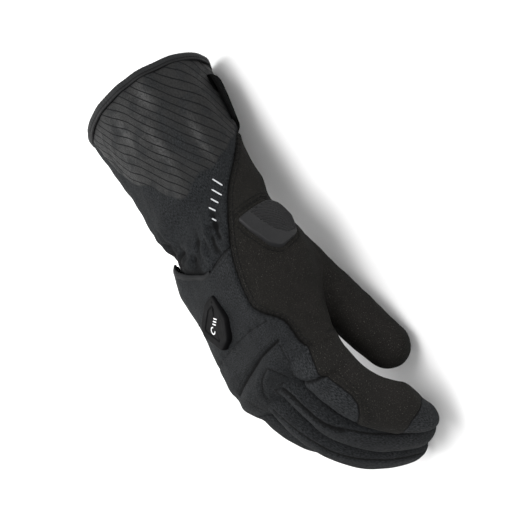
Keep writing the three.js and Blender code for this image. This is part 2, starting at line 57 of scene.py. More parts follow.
# %% Sizes in millimetres
MM = 0.001
CUFF_LENGTH, HAND_LENGTH, PALM_REACH = 117.0, 114.0, 60.0
RIM_WIDTH, RIM_DEPTH, RIM_SLANT = 117.0, 77.0, 5.0
WRIST_WIDTH, WRIST_DEPTH = 98.0, 62.0
HAND_WIDTH, HAND_DEPTH = 104.0, 58.0
FINGER_WIDTH, FINGER_DEPTH, FINGER_LENGTH = 27.0, 28.0, 108.0
THUMB_WIDTH, THUMB_DEPTH = 38.0, 34.0
WALL, FINGER_WALL, TAPE_WALL = 3.0, 2.5, 0.5
SHELL_ARC, FINGER_ARC = 0.85, 0.25  # millimetres per degree round the shell and round a finger, near enough
REST_TILT = radians(9.0205)
WRIST_PLACE = np.array([0.0102, 28.8349, 55.8840])

# along the cuff, width and depth from the wrist's to the rim's, shift out and down, squareness
cuff_sections = [
    (0.00, 0.10, 0.14, 0.028, 0.062, 2.2),
    (0.12, 0.02, 0.06, 0.026, 0.050, 2.2),
    (0.30, 0.08, 0.10, 0.024, 0.040, 2.1),
    (0.50, 0.36, 0.38, 0.014, 0.020, 2.1),
    (0.75, 0.74, 0.76, 0.006, 0.006, 2.1),
    (1.00, 1.00, 1.00, -0.006, -0.006, 2.1),
]
# along the hand, width and depth as shares of the hand's, shift out and down, squareness
hand_sections = [
    (0.18, 1.04, 1.22, 0.030, 0.105, 2.2),
    (0.40, 1.03, 1.20, 0.030, 0.110, 2.3),
    (0.65, 1.00, 1.02, 0.012, 0.050, 2.4),
    (0.82, 0.98, 0.92, 0.006, 0.040, 2.4),
    (0.93, 0.88, 0.76, 0.010, 0.100, 2.3),
    (1.00, 0.62, 0.40, 0.010, 0.180, 2.2),
]
# length along the arm, where the palm's seam runs on the thumb side and on the far side, degrees
palm_seam = np.array([
    (-1.20 * HAND_LENGTH, 14, 188),
    (-0.88 * HAND_LENGTH, 22, 188),
    (-0.71 * HAND_LENGTH, 27, 188),
    (-0.60 * HAND_LENGTH, 46, 190),
    (-0.52 * HAND_LENGTH, 54, 192),
    (-0.34 * HAND_LENGTH, 53, 196),
    (-0.13 * HAND_LENGTH, 43, 200),
    (0.10 * PALM_REACH, 28, 206),
    (0.45 * PALM_REACH, 5, 214),
    (0.80 * PALM_REACH, -22, 222),
    (1.00 * PALM_REACH, -42, 228),
])
# degrees round the wrist, and where the seam between hand and cuff runs, share of the hand's length
wrist_seam = np.array([
    (10, -0.16), (44, -0.18), (62, -0.195), (80, -0.215), (92, -0.150), (108, -0.045),
    (126, 0.05), (150, 0.06), (175, 0.05), (235, 0.03),
]) * (1, HAND_LENGTH)
FOLD_HEIGHT = 4.0
# folds: degrees, share along, share of the fold height outwards, reach round and along
folds = [
    (100, 0.10, -0.9, 70, 0.09),
    (60, 0.28, 0.6, 26, 0.10),
    (100, 0.24, 0.8, 22, 0.08),
    (140, 0.30, 0.6, 24, 0.12),
    (200, 0.08, -0.7, 50, 0.08),
    (280, 0.06, -0.8, 60, 0.08),
    (135, -0.09, 0.9, 45, 0.10),
    (110, -0.80, -0.8, 50, 0.04),
    (80, -0.89, 0.7, 60, 0.06),
]

print("cuff", CUFF_LENGTH, "mm, hand", HAND_LENGTH, "mm, folds:", len(folds))

# %% [markdown]
# A few listed rows are enough for a soft form if they are read on a smooth curve, so that no ring
# shows. The arm's millimetres turn into the frame by the tilt at which the glove rests. What would sink
# into the ground is pressed flat, as padding is.

# %% Read a table on a smooth curve, and turn the arm's millimetres into the part's frame
def read_table(table, column, place):
    table = np.asarray(table, float)
    keys, values = table[:, 0], table[:, column]
    last = len(keys) - 1
    row = np.clip(np.searchsorted(keys, place) - 1, 0, last - 1)
    before, after = np.maximum(row - 1, 0), np.minimum(row + 2, last)
    span = keys[row + 1] - keys[row]
    t = np.clip((place - keys[row]) / span, 0, 1)
    slope_in = (values[row + 1] - values[before]) / (keys[row + 1] - keys[before]) * span
    slope_out = (values[after] - values[row]) / (keys[after] - keys[row]) * span
    return ((2 * t**3 - 3 * t**2 + 1) * values[row] + (t**3 - 2 * t**2 + t) * slope_in
            + (3 * t**2 - 2 * t**3) * values[row + 1] + (t**3 - t**2) * slope_out)


def places_along(places, count):
    """Many places on a smooth curve through a few pairs, as two arrays."""
    table = np.column_stack([np.arange(len(places)), np.asarray(places, float)])
    t = np.linspace(0, len(places) - 1, count)
    return read_table(table, 1, t), read_table(table, 2, t)


def lay_down(points):
    """Points along the arm, in millimetres, as metres in the part's frame, pressed flat on the ground."""
    p = np.asarray(points, float)
    y = p[..., 1] * cos(REST_TILT) + p[..., 2] * sin(REST_TILT) + WRIST_PLACE[1]
    z = -p[..., 1] * sin(REST_TILT) + p[..., 2] * cos(REST_TILT) + WRIST_PLACE[2]
    z = (z + np.sqrt(z**2 + 0.5)) / 2
    return np.stack([p[..., 0] + WRIST_PLACE[0], y, z], -1) * MM


def smooth(value, low, high):
    t = np.clip((value - low) / (high - low), 0, 1)
    return t * t * (3 - 2 * t)


def bump(distance, width):
    return np.exp(-(distance / width) ** 2)


def rounded_section(side, square):
    c, s = np.cos(np.radians(side)), np.sin(np.radians(side))
    return np.sign(c) * np.abs(c) ** (2 / square), np.sign(s) * np.abs(s) ** (2 / square)


print("the wrist's middle in the frame, m:", np.round(lay_down([0, 0, 0]), 4))

# %% [markdown]
# A section is a circle pushed a little towards a square, by a power just over two. Each fold pushes it out
# or in round one place, which gives the broad waves of a glove that has been worn.

# %% The plain shell
shell_rows = [(-a * HAND_LENGTH, w * HAND_WIDTH, d * HAND_DEPTH, o * HAND_WIDTH, -z * HAND_DEPTH, q)
              for a, w, d, o, z, q in reversed(hand_sections)]
shell_rows += [(a * CUFF_LENGTH, WRIST_WIDTH + w * (RIM_WIDTH - WRIST_WIDTH),
                WRIST_DEPTH + d * (RIM_DEPTH - WRIST_DEPTH), o * RIM_WIDTH, -z * RIM_DEPTH, q)
               for a, w, d, o, z, q in cuff_sections]
shell_rows = np.array(shell_rows)


def shell_point(y, side, out=0.0):
    y, side = np.broadcast_arrays(np.asarray(y, float), np.asarray(side, float))
    width, depth, x, z, square = (read_table(shell_rows, k, y) for k in range(1, 6))
    c, s = rounded_section(side, square)
    along = np.where(y > 0, y / CUFF_LENGTH, y / HAND_LENGTH)
    push = out + np.zeros(y.shape)
    for turn, place, deep, round_, far in folds:
        away = np.abs((side - turn + 540) % 360 - 180)
        push = push + deep * FOLD_HEIGHT * bump(away, round_) * bump(along - place, far)
    slant = RIM_SLANT * np.maximum(y / CUFF_LENGTH, 0) ** 2 * np.cos(np.radians(side))
    return np.stack([x + c * (width / 2 + push), y - slant, z + s * (depth / 2 + push)], -1)


def shell_distance(points):
    """How far points stand outside the plain shell, roughly."""
    y = points[..., 1]
    width, depth, x, z, square = (read_table(shell_rows, k, y) for k in range(1, 6))
    dx, dz = points[..., 0] - x, points[..., 2] - z
    share = ((np.abs(dx) / (width / 2)) ** square + (np.abs(dz) / (depth / 2)) ** square) ** (1 / square)
    share = np.maximum(share, 0.05)
    round_ = np.hypot(dx, dz) * (1 - 1 / share)
    return np.where(y < -HAND_LENGTH, np.maximum(round_, -HAND_LENGTH - y), round_)


def seam_side(y, column):
    return read_table(palm_seam, column, y)


def seam_y(side):
    return read_table(wrist_seam, 1, side)


print("rim", RIM_WIDTH, "x", RIM_DEPTH, "mm, wrist", WRIST_WIDTH, "x", WRIST_DEPTH, "mm")

# %% [markdown]
# ## Fingers and thumb
# Each finger is a padded tube on a middle line that bends at two knuckles, the way a hand hangs at ease,
# and the glove keeps that curl by its cut. A place on a tube is a share along it and an angle round it.

# %% Tubes on bent middle lines
# root across the hand, height, start along the hand, width, depth, three lengths, three bends, splay
finger_cuts = {
    "index_finger": (0.362, -0.04, 0.86, 1.06, 1.22, (0.42, 0.26, 0.23), (22, 60, 84), -1),
    "middle_finger": (0.112, 0.00, 0.87, 0.94, 1.08, (0.45, 0.29, 0.28), (22, 63, 90), 0),
    "ring_finger": (-0.122, 0.00, 0.86, 0.94, 1.06, (0.48, 0.31, 0.29), (23, 63, 94), 0.5),
    "little_finger": (-0.348, -0.06, 0.80, 0.87, 0.94, (0.38, 0.26, 0.28), (26, 68, 98), 1),
}
# out, along, down, wide, deep
thumb_cut = np.array([
    (0.20, -0.04, 0.30, 0.76, 0.80),
    (0.23, 0.22, 0.49, 0.86, 0.92),
    (0.27, 0.56, 0.71, 0.88, 0.94),
    (0.31, 0.86, 0.92, 0.90, 0.92),
    (0.335, 1.08, 1.11, 0.84, 0.82),
])


class Tube:
    """A padded finger: a middle line with a rounded section and a rounded tip."""

    def __init__(self, line, across, width, depth, square, tip, taper):
        self.line = line
        ahead = np.gradient(line, axis=0)
        self.ahead = ahead / np.linalg.norm(ahead, axis=1)[:, None]
        side = np.array(across, float) - (self.ahead @ np.array(across, float))[:, None] * self.ahead
        self.side = side / np.linalg.norm(side, axis=1)[:, None]
        self.up = np.cross(self.ahead, self.side)
        steps = np.linalg.norm(np.diff(line, axis=0), axis=1)
        self.lengths = np.concatenate([[0], np.cumsum(steps)])
        self.total = self.lengths[-1]
        self.width, self.depth, self.square, self.tip, self.taper = width, depth, square, tip, taper
        self.tree = KDTree(len(line))
        for k, p in enumerate(line):
            self.tree.insert(p, k)
        self.tree.balance()

    def read(self, table, share):
        return np.stack([np.interp(share * self.total, self.lengths, table[:, k]) for k in range(3)], -1)

    def tip_share(self, share):
        straight = 1 - self.tip / self.total
        return np.clip((share - straight) / (1 - straight), 0, 1)

    def half(self, share):
        left = (1 - self.taper * share**2) * np.sqrt(np.maximum(1 - self.tip_share(share) ** 2, 1e-4))
        return np.interp(share, *self.width) / 2 * left, np.interp(share, *self.depth) / 2 * left, left

    def point(self, share, side, out=0.0):
        share, side = np.broadcast_arrays(np.asarray(share, float), np.asarray(side, float))
        out = np.broadcast_to(out, share.shape)
        c, s = rounded_section(side, self.square)
        half_width, half_depth, left = self.half(share)
        left = np.clip(left, 0, 1)
        p = self.read(self.line, share)
        p = p + self.read(self.side, share) * (c * (half_width + out * left))[..., None]
        p = p + self.read(self.up, share) * (s * (half_depth + out * left))[..., None]
        return p + self.read(self.ahead, share) * (out * self.tip_share(share) ** 2)[..., None]

    def distance(self, points):
        """How far points stand outside the tube, roughly."""
        flat = points.reshape(-1, 3)
        near = np.array([self.tree.find(p)[1] for p in flat])
        away = flat - self.line[near]
        share = self.lengths[near] / self.total
        half_width, half_depth, _ = self.half(np.minimum(share, 1 - self.tip / self.total))
        across = (away * self.side[near]).sum(1) / half_width
        over = (away * self.up[near]).sum(1) / half_depth
        part = np.maximum((np.abs(across)**self.square + np.abs(over)**self.square)**(1 / self.square), .05)
        beyond = (away * self.ahead[near]).sum(1)
        round_ = np.linalg.norm(away, axis=1) * (1 - 1 / part)
        return np.maximum(round_, np.abs(beyond) - 3).reshape(points.shape[:-1])


def finger_line(name, steps=160):
    root, sunk, start, _, _, shares, bends, splay = finger_cuts[name]
    lengths = [share * FINGER_LENGTH for share in shares]
    total = sum(lengths)
    bend_rows = np.array([
        (0, bends[0] * 0.6),
        (lengths[0] / 2, bends[0]),
        (lengths[0] + lengths[1] / 2, bends[1]),
        (total - lengths[2] * 0.4, bends[2]),
        (total, bends[2]),
    ], float)
    turn = np.radians(read_table(bend_rows, 1, (np.arange(steps) + 0.5) * total / steps))
    out = radians(splay)
    heading = np.stack([np.full(steps, sin(out)), -np.cos(turn) * cos(out), -np.sin(turn) * cos(out)], -1)
    origin = np.array([root * HAND_WIDTH, -start * HAND_LENGTH, sunk * HAND_DEPTH])
    return np.vstack([origin, origin + np.cumsum(heading, 0) * total / steps])


tubes = {}
for name, cut in finger_cuts.items():
    even = np.array([0.0, 1.0])
    tubes[name] = Tube(finger_line(name), (1, 0, 0), (even, np.full(2, cut[3] * FINGER_WIDTH)),
                       (even, np.full(2, cut[4] * FINGER_DEPTH)), 2.3, cut[4] * FINGER_DEPTH * 0.5, 0.12)
thumb_keys = np.linspace(0, 1, len(thumb_cut))
thumb_scale = np.array([HAND_WIDTH, -HAND_LENGTH, -HAND_DEPTH])
thumb_points = np.column_stack([thumb_keys, thumb_cut[:, :3] * thumb_scale])
fine = np.linspace(0, 1, 160)
tubes["thumb"] = Tube(np.stack([read_table(thumb_points, k, fine) for k in (1, 2, 3)], -1),
                      (cos(radians(51.5)), 0, sin(radians(51.5))),
                      (thumb_keys, thumb_cut[:, 3] * THUMB_WIDTH),
                      (thumb_keys, thumb_cut[:, 4] * THUMB_DEPTH), 2.2, THUMB_DEPTH * 0.45, 0.0)
print("finger lengths, mm:", {name: round(float(t.total)) for name, t in tubes.items()})

# %% [markdown]
# ## Soft relief
# Wadding never lies smooth. A few slow waves with fixed phases stand for its dents, and each seam is a
# groove with a soft shoulder, where the thread pulls the layers together and the cloth puckers across it.

# %% Waves, and distances to seam lines
def slow_waves(points, length, seed, count=7):
    """A smooth field of about -1 to 1 with bumps of about that length in millimetres."""
    local = np.random.default_rng(seed)
    total = np.zeros(points.shape[:-1])
    for _ in range(count):
        way = local.normal(size=3)
        way *= 2 * pi / (length * local.uniform(0.7, 1.5)) / np.linalg.norm(way)
        total += np.sin(points @ way + local.uniform(0, 2 * pi))
    return total / sqrt(count)


class Line:
    """A seam or edge on the glove as a fine row of points, to measure distances from."""

    def __init__(self, points):
        points = np.asarray(points, float)
        steps = np.concatenate([[0], np.cumsum(np.linalg.norm(np.diff(points, axis=0), axis=1))])
        count = max(int(steps[-1] / 0.5), 2)
        self.run = np.linspace(0, steps[-1], count)
        self.points = np.stack([np.interp(self.run, steps, points[:, k]) for k in range(3)], -1)
        self.tree = KDTree(count)
        for k, p in enumerate(self.points):
            self.tree.insert(p, k)
        self.tree.balance()
        self.length = steps[-1]

    def reach(self, points):
        """(distance, length along the line) for each point."""
        flat = points.reshape(-1, 3)
        found = [self.tree.find(p) for p in flat]
        away = np.array([f[2] for f in found]).reshape(points.shape[:-1])
        along = self.run[np.array([f[1] for f in found])].reshape(points.shape[:-1])
        return away, along


def seam_relief(line, points, deep):
    """A groove with a soft shoulder, and cloth that puckers across it every few millimetres."""
    away, along = line.reach(points)
    wave = np.sin(2 * pi * along / 5.0 + 1.7 * np.sin(along / 9.0))
    return -deep * bump(away, 1.5) + 0.3 * deep * bump(away - 3.5, 2.2) + 0.35 * wave * bump(away, 5.0)


def arm_line(places):
    """A line on the plain shell through a few (length along, degrees) places."""
    return Line(shell_point(*places_along(places, 40 * len(places))))


thumb_side_y = np.linspace(-HAND_LENGTH, PALM_REACH, 200)
seams = {
    "thumb_side": Line(shell_point(thumb_side_y, seam_side(thumb_side_y, 1))),
    "far_side": Line(shell_point(thumb_side_y, seam_side(thumb_side_y, 2))),
}
top_side = np.linspace(seam_side(PALM_REACH, 2), 360 + seam_side(PALM_REACH, 1), 60)
seams["palm_top"] = Line(shell_point(PALM_REACH, top_side))
wrist_sides = np.linspace(30, 205, 150)
seams["wrist"] = Line(shell_point(seam_y(wrist_sides), wrist_sides))
print("seams, mm:", {name: round(float(s.length)) for name, s in seams.items()})

# %% [markdown]
# The back of the hand is quilted over the wadding: a deep pleat behind the fingers, a stitched line behind
# it, and tapes that run up between the fingers. Two rows of stitches hold the suede's folded edge.

# %% Lines that the back of the hand shows
STITCH_PITCH = 3.1
details = {
    "pleat": arm_line([(-89, 44), (-89.5, 53), (-90, 71), (-91, 89), (-91.5, 105), (-92, 124)]),
    "knuckle_stitch": arm_line([(-75, 45), (-73, 62), (-72, 78), (-71, 90), (-70, 112), (-68, 140)]),
    "index_stitch": arm_line([(-92, 45), (-100, 47), (-106, 50)]),
    "fold_above_wrist": arm_line([(19, 122), (11.5, 109.5), (-2, 92), (-9, 84)]),
    "wrist_cross": arm_line([(-22, 50), (-24, 62), (-24.5, 74)]),
    "web_tape": arm_line([(-111, 103), (-106, 93), (-101, 81), (-99, 69.5), (-103, 66), (-108, 64)]),
    "web_tape_end": arm_line([(-97, 112), (-102, 108.5), (-106, 115), (-110, 122)]),
}

row_y = np.linspace(-104, 57, 60)
suede_rows_aside = (2.3, 4.9)
suede_edge_rows = [Line(shell_point(row_y, seam_side(row_y, 1) - aside / SHELL_ARC))
                   for aside in suede_rows_aside]
print("lines on the back, mm:", {name: round(float(line.length)) for name, line in details.items()})

# %% [markdown]
# ## From grids to pieces
# A panel is a grid between four seams: two along the arm and two round it. Where a seam slants, a place's
# length and angle depend on each other, so they are settled in a few rounds. The wall is given its
# thickness afterwards, inwards, so the outside keeps the form.

# %% Build meshes from grids
STEP = 1.0  # millimetres between the points of a panel, near enough


def panel_places(low, high, right, left, length, girth):
    """Lengths and degrees of a grid between two seams round the arm and two along it."""
    rows, columns = int(length / STEP), int(girth / STEP)
    u, v = np.meshgrid(np.linspace(0, 1, rows), np.linspace(0, 1, columns), indexing="ij")
    y = np.full(u.shape, -20.0)
    for _ in range(14):
        side = right(y) + v * (left(y) - right(y))
        y = low(side) + u * (high(side) - low(side))
    return y, side


def grid_faces(rows, columns, start=0, closed=False):
    faces = []
    for i in range(rows - 1):
        for j in range(columns if closed else columns - 1):
            k = (j + 1) % columns
            a, b = start + i * columns + j, start + i * columns + k
            faces.append((a, b, b + columns, a + columns))
    return faces


def make_piece(name, grids, fields=None, drop=None, flip=False):
    """One mesh from grids of points along the arm: [(points, closed)]. fields: name -> list of arrays."""
    points, faces, start = [], [], 0
    for p, closed in grids:
        points.append(p.reshape(-1, 3))
        faces += grid_faces(p.shape[0], p.shape[1], start, closed)
        start += p.shape[0] * p.shape[1]
    points = np.vstack(points)
    faces = np.array(faces)
    if drop is not None:
        faces = faces[~drop(points[faces].mean(1))]
    if flip:
        faces = faces[:, ::-1]
    mesh = bpy.data.meshes.new(name)
    mesh.from_pydata(lay_down(points).tolist(), [], faces.tolist())
    for field, values in (fields or {}).items():
        flat = np.concatenate([np.asarray(v, float).reshape(-1, *np.shape(v)[2:]) for v in values])
        if flat.ndim == 2:
            attribute = mesh.attributes.new(field, "FLOAT_VECTOR", "POINT")
            flat = np.column_stack([flat, np.zeros(len(flat))]) if flat.shape[1] == 2 else flat
            attribute.data.foreach_set("vector", flat.astype(np.float32).ravel())
        else:
            attribute = mesh.attributes.new(field, "FLOAT", "POINT")
            attribute.data.foreach_set("value", flat.astype(np.float32))
    piece = bpy.data.objects.new(name, mesh)
    bpy.context.scene.collection.objects.link(piece)
    return piece


def use_modifier(piece, kind, **settings):
    modifier = piece.modifiers.new(kind.lower(), kind)
    for key, value in settings.items():
        setattr(modifier, key, value)
    bpy.context.view_layer.objects.active = piece
    for other in bpy.context.selected_objects:
        other.select_set(False)
    piece.select_set(True)
    bpy.ops.object.modifier_apply(modifier=modifier.name)


def finish_cloth(piece, wall=WALL):
    """Joins the grids, gives the wall its thickness inwards, with the lining inside, and shades it smooth."""
    use_modifier(piece, "WELD", merge_threshold=0.02 * MM)
    if wall:
        outside = len(piece.data.polygons)
        use_modifier(piece, "SOLIDIFY", thickness=wall * MM, offset=-1)
        sides = np.ones(len(piece.data.polygons), np.int32)
        sides[:outside] = 0
        piece.data.polygons.foreach_set("material_index", sides)
    piece.data.shade_smooth()
    print(piece.name, len(piece.data.polygons), "faces")


def cloth_place(points):
    """Lengths along and across a grid, in millimetres, for the weave to run along."""
    along = np.zeros(points.shape[:2])
    across = np.zeros(points.shape[:2])
    along[1:] = np.cumsum(np.linalg.norm(np.diff(points, axis=0), axis=-1), 0)
    across[:, 1:] = np.cumsum(np.linalg.norm(np.diff(points, axis=1), axis=-1), 1)
    middle = points.shape[0] // 2
    across = across[middle][None] + 0 * across
    return np.stack([along[:, points.shape[1] // 2][:, None] + 0 * along, across], -1)


print("grid step:", STEP, "mm")

# %% [markdown]
# ## Where panels meet fingers
# A finger is set into the hand with a curved seam, and the wadding fills the corner. So both surfaces swell
# a little where they come near each other, which rounds the corner, and fingers that touch press each
# other flat along their sides.

# %% Swell the corners and dent the seams
# how each line dents the cloth: depth, width, then the height, place and width of its shoulder
line_dents = {
    "pleat": (1.7, 0.8, 0.35, 2.4, 1.6),
    "knuckle_stitch": (0.7, 1.4, 0, 0, 1),
    "index_stitch": (0.5, 1.2, 0, 0, 1),
    "wrist_cross": (0.5, 0.9, 0, 0, 1),
    "web_tape": (0.5, 0.9, 0.8, 3.0, 2.2),
}


def corner_swell(distance, reach, rise):
    near = np.clip(1 - distance / reach, 0, 1.3)
    return rise * near**2 * (distance > -3)


def line_relief(line, points, deep, width, rise, aside, reach):
    """A groove along a line with a shoulder beside it."""
    away, _ = line.reach(points)
    return -deep * bump(away, width) + rise * bump(away - aside, reach)


def shell_relief(y, side):
    """The relief that all panels of the shell share, in millimetres outwards."""
    p = shell_point(y, side)
    total = 0.35 * slow_waves(p, 34, 3) + 0.16 * slow_waves(p, 13, 5)
    for name, tube in tubes.items():
        total += corner_swell(tube.distance(p), 8.0 if name == "thumb" else 6.0, 1.5)
    for name, deep in (("thumb_side", 1.15), ("far_side", 1.15), ("palm_top", 1.0)):
        total += seam_relief(seams[name], p, deep)
    for name, dent in line_dents.items():
        total += line_relief(details[name], p, *dent)
    away, along = details["knuckle_stitch"].reach(p)
    return total + 0.25 * np.sin(along / 1.3) * bump(away, 4)


print("deepest dent:", max(line_dents, key=lambda name: line_dents[name][0]))

# %% [markdown]
# ## The wrist
# Elastic inside the cuff gathers it just above the wrist, in small folds that run along the arm. The back
# of the hand ends there in an open edge that flares over the gathers, and the cuff is tucked in under it.

# %% Gather the cuff, flare the back
def over_the_back(side):
    """One over the back of the wrist, and zero round its thumb side and under the palm."""
    return smooth(side, 66, 82) * (1 - smooth(side, 180, 205))


def gather_relief(y, side):
    """Small folds that run along the arm where elastic gathers the cuff above the wrist."""
    p = shell_point(y, side)
    around = (side - 60) * 0.82
    spread = bump(y - (seam_y(np.clip(side, 10, 235)) + 15), 13)
    spread = spread * smooth(side, 25, 50) * (1 - smooth(side, 150, 200)) * (1 + 0.9 * bump(side - 56, 18))
    fine_folds = np.sin(around / 1.25 + 0.9 * np.sin(y / 6.0) + 2.0 * np.sin(around / 17))
    wide_folds = np.sin(around / 3.4 + 0.12 * y + 1.0)
    return spread * (0.45 * fine_folds + 0.70 * wide_folds + 0.60 * slow_waves(p, 9, 8))


def palm_surface(y, side):
    return shell_point(y, side, shell_relief(y, side) + 0.25)


def back_surface(y, side):
    return shell_point(y, side, back_relief(y, side))


def back_relief(y, side):
    """The back of the hand: its edge over the wrist is rolled and stands off the cuff."""
    away, _ = seams["wrist"].reach(shell_point(y, side))
    back = over_the_back(side)
    flare = smooth(side, 88, 120) * (1 - smooth(side, 165, 205)) * smooth(y - seam_y(side), -22, 0) ** 2
    rolled = 0.8 * back * bump(away, 4.0) - 0.9 * (1 - back) * bump(away, 1.5)
    return shell_relief(y, side) + rolled + 2.4 * flare


def cuff_relief(y, side):
    """The cuff: slow billows, the tuck under the bound edge, a soft fold above it and the gathers."""
    p = shell_point(y, side)
    billows = 1.15 * slow_waves(p * (1, 0.45, 1), 26, 21) * smooth(y, 15, 45)
    away, _ = seams["wrist"].reach(p)
    tuck = -(0.9 + 0.8 * over_the_back(side)) * bump(away, 2.8)
    fold = line_relief(details["fold_above_wrist"], p, 1.5, 2.0, 0.9, 5, 3.4)
    return shell_relief(y, side) + billows + tuck + fold + gather_relief(y, side)


def cuff_surface(y, side):
    return shell_point(y, side, cuff_relief(y, side))


print("the back's edge stands off by", round(float(back_relief(seam_y(130.0), 130.0)), 1), "mm")

# %% [markdown]
# ## Seams that show dark
# Light doesn't reach the depth of a seam. So each panel keeps the distance to its nearest line, and the
# finish fades to near black there. It is a measure on the surface, so it stays sharp however fine the grid.

# %% Measure how far the dark lines are
# share of the distance, which makes a line wider where it is small, and an added distance, which fades it
line_marks = {
    "pleat": (0.72, 0.0),
    "knuckle_stitch": (1, 0.45),
    "index_stitch": (1, 0.35),
    "wrist_cross": (1, 0.3),
    "web_tape": (1, 0.2),
    "web_tape_end": (1, 0.2),
}


def shell_seams(y, side, panel):
    """Millimetres to the nearest seam or fold on the palm, the back or the cuff, where shade is painted dark.
    """
    p = shell_point(y, side)
    near = np.min([seams[name].reach(p)[0] for name in ("thumb_side", "far_side", "palm_top")], axis=0)
    for name, (share, added) in line_marks.items():
        near = np.minimum(near, details[name].reach(p)[0] * share + added)
    if panel == "palm":
        for row in suede_edge_rows:
            away, along = row.reach(p)
            near = np.minimum(near, away + 0.62 + 0.30 * np.sin(2 * pi * along / STITCH_PITCH))
        return near
    wrist = seams["wrist"].reach(p)[0]
    if panel == "back":
        return np.minimum(near, wrist + 0.2)
    # painted shade: the dark of the wrist seam reaches far up the cuff under the back's flared edge, and the
    # valleys of the gathers are painted dark
    gathers = gather_relief(y, side)
    tucked = smooth(side, 72, 100) * (1 - smooth(side, 180, 205))
    tuck = 0.2 + wrist / (1 + 21 * tucked) + 0.25 * tucked * gathers
    return np.minimum(np.minimum(near, tuck), np.maximum(1.25 + 0.62 * gathers, 0.3))


print("lines that show dark:", len(line_marks) + len(seams) + len(suede_edge_rows))

# %% [markdown]
# ## The web between the fingers
# The shell ends at the roots of the fingers. A few more rows close it towards its middle, and the part of a
# panel that lies inside a finger is left out, as a tailor cuts the hole that a finger is sewn into.

# %% Close the web and leave out what lies inside a finger
def close_web(points, rows=7):
    """Rows that close the end of the shell between the fingers, towards its middle."""
    first = points[0]
    middle = shell_point(-HAND_LENGTH, np.arange(0, 360, 10.0)).mean(0)
    turns = np.linspace(pi / 2, 0, rows, endpoint=False)[:, None, None]
    added = middle + (first - middle) * np.maximum(np.cos(turns), 0.02)
    added[..., 1] = first[..., 1] - 4.0 * np.sin(turns[..., 0])
    return np.vstack([added, points])


def web_rows(field, rows=7):
    """The same added rows for a field that goes with the points."""
    return np.vstack([np.repeat(field[:1], rows, 0), field])


def inside_fingers(points):
    inside = np.zeros(len(points), bool)
    for name, tube in tubes.items():
        inside |= tube.distance(points) < (-4.5 if name == "thumb" else -3.0)
    return inside


def everywhere(value):
    return lambda other: np.full(np.shape(other), float(value))


def sew_panel(name, places, surface, panel):
    """A panel of the hand, closed at the web and open where the fingers enter."""
    points = close_web(surface(*places))
    piece = make_piece(name, [(points, False)], {
        "cloth_mm": [cloth_place(points)],
        "seam_mm": [web_rows(shell_seams(*places, panel))],
    }, inside_fingers, flip=True)
    finish_cloth(piece)
    return piece


print("the shell ends", HAND_LENGTH, "mm in front of the wrist")

# %% [markdown]
# ## The palm and the back
# One piece of synthetic suede wraps from the palm round the thumb side and climbs the cuff to a point. Its
# edge shows in front, sewn over the softer cloth of the back. Both panels share their seams' lines, so
# they meet along them without a gap.

# %% Cut the palm and the back of the hand
PALM_GIRTH, BACK_LENGTH, BACK_GIRTH = 170, 112, 150
palm_places = panel_places(everywhere(-HAND_LENGTH), everywhere(PALM_REACH), lambda y: seam_side(y, 2),
                           lambda y: 360 + seam_side(y, 1), HAND_LENGTH + PALM_REACH, PALM_GIRTH)
palm = sew_panel("palm_suede", palm_places, palm_surface, "palm")
back_places = panel_places(everywhere(-HAND_LENGTH), seam_y, lambda y: seam_side(y, 1),
                           lambda y: seam_side(y, 2), BACK_LENGTH, BACK_GIRTH)
back = sew_panel("hand_back_cloth", back_places, back_surface, "back")

# %% [markdown]
# The cuff is one tube of printed softshell. Below the point of the palm it is open towards the suede, and
# above it the tube is whole, so it is two grids that share a row of points.

# %% Lay out the cuff
LOW_CUFF, LOW_GIRTH, REST_GIRTH = 76, 220, 80
low_y, low_side = panel_places(seam_y, everywhere(PALM_REACH), lambda y: seam_side(y, 1),
                               lambda y: seam_side(y, 2), LOW_CUFF, LOW_GIRTH)
rest_side = np.linspace(low_side[-1, -1], low_side[-1, 0] + 360, int(REST_GIRTH / STEP))[1:-1]
ring = np.concatenate([low_side[-1], rest_side])
high_rows = np.linspace(PALM_REACH, CUFF_LENGTH, int((CUFF_LENGTH - PALM_REACH) / STEP))
high_y, high_side = np.meshgrid(high_rows, ring, indexing="ij")
cuff_grids = [(low_y, low_side, False), (high_y, high_side, True)]
print("points in a ring of the cuff:", len(ring))

# %% [markdown]
# Over the softshell of the cuff a thin dark film is printed, cut by narrow unprinted lines that sweep down
# from the rim. Handling has rubbed it in one streak, and highlights are painted on it over billows. The mesh
# keeps four measures: where in the pattern a point lies, how far inside the print, rubbed, and painted
# highlight.

# %% Measure the print
LINE_PITCH = 8.7
# degrees round the cuff, and how far a printed line has climbed the arm there, millimetres
line_rise = [(-90, -56), (-60, -37), (-30, -18), (0, 0), (17, 11), (34.5, 26), (57.5, 53), (87.5, 90),
             (120, 130), (200, 228)]
# degrees round the cuff, and where the print ends along the arm, millimetres
print_edge = [(-90, 90), (-45, 66), (0, 42), (20, 35), (45, 31), (67, 27), (88.5, 51), (107, 68), (122, 90),
              (135, 118), (200, 150)]
# degrees round the cuff, millimetres along it, reach round and along, of the painted highlights
painted_glint_places = [(58, 66, 4.5, 24), (80, 90, 4, 14), (20, 56, 5, 16), (47, 100, 6, 10)]


def print_phase(y, turn):
    lines = (y - read_table(line_rise, 1, turn)) / LINE_PITCH
    return lines + 0.17 * smooth(turn, 20, 80) * np.sin(turn / 6.5 + y / 15.0)


def print_cover(y, turn):
    """Above zero where the cuff is printed."""
    return y - read_table(print_edge, 1, turn) + 1.6 * np.sin(turn / 5.0) * np.sin(y / 7.0)


def print_rub(y, turn):
    """Near one where handling has rubbed the print away."""
    return bump(y - 59, 19) * bump(turn - 39 - 0.12 * (y - 59), 9)


def print_painted_glint(y, turn):
    """Near one where a highlight is painted on the film over a billow."""
    return np.clip(sum(bump(turn - a, c) * bump(y - b, d) for a, b, c, d in painted_glint_places), 0, 1)


print("printed lines climb", line_rise[-1][1] - line_rise[0][1], "mm on their way round the cuff")

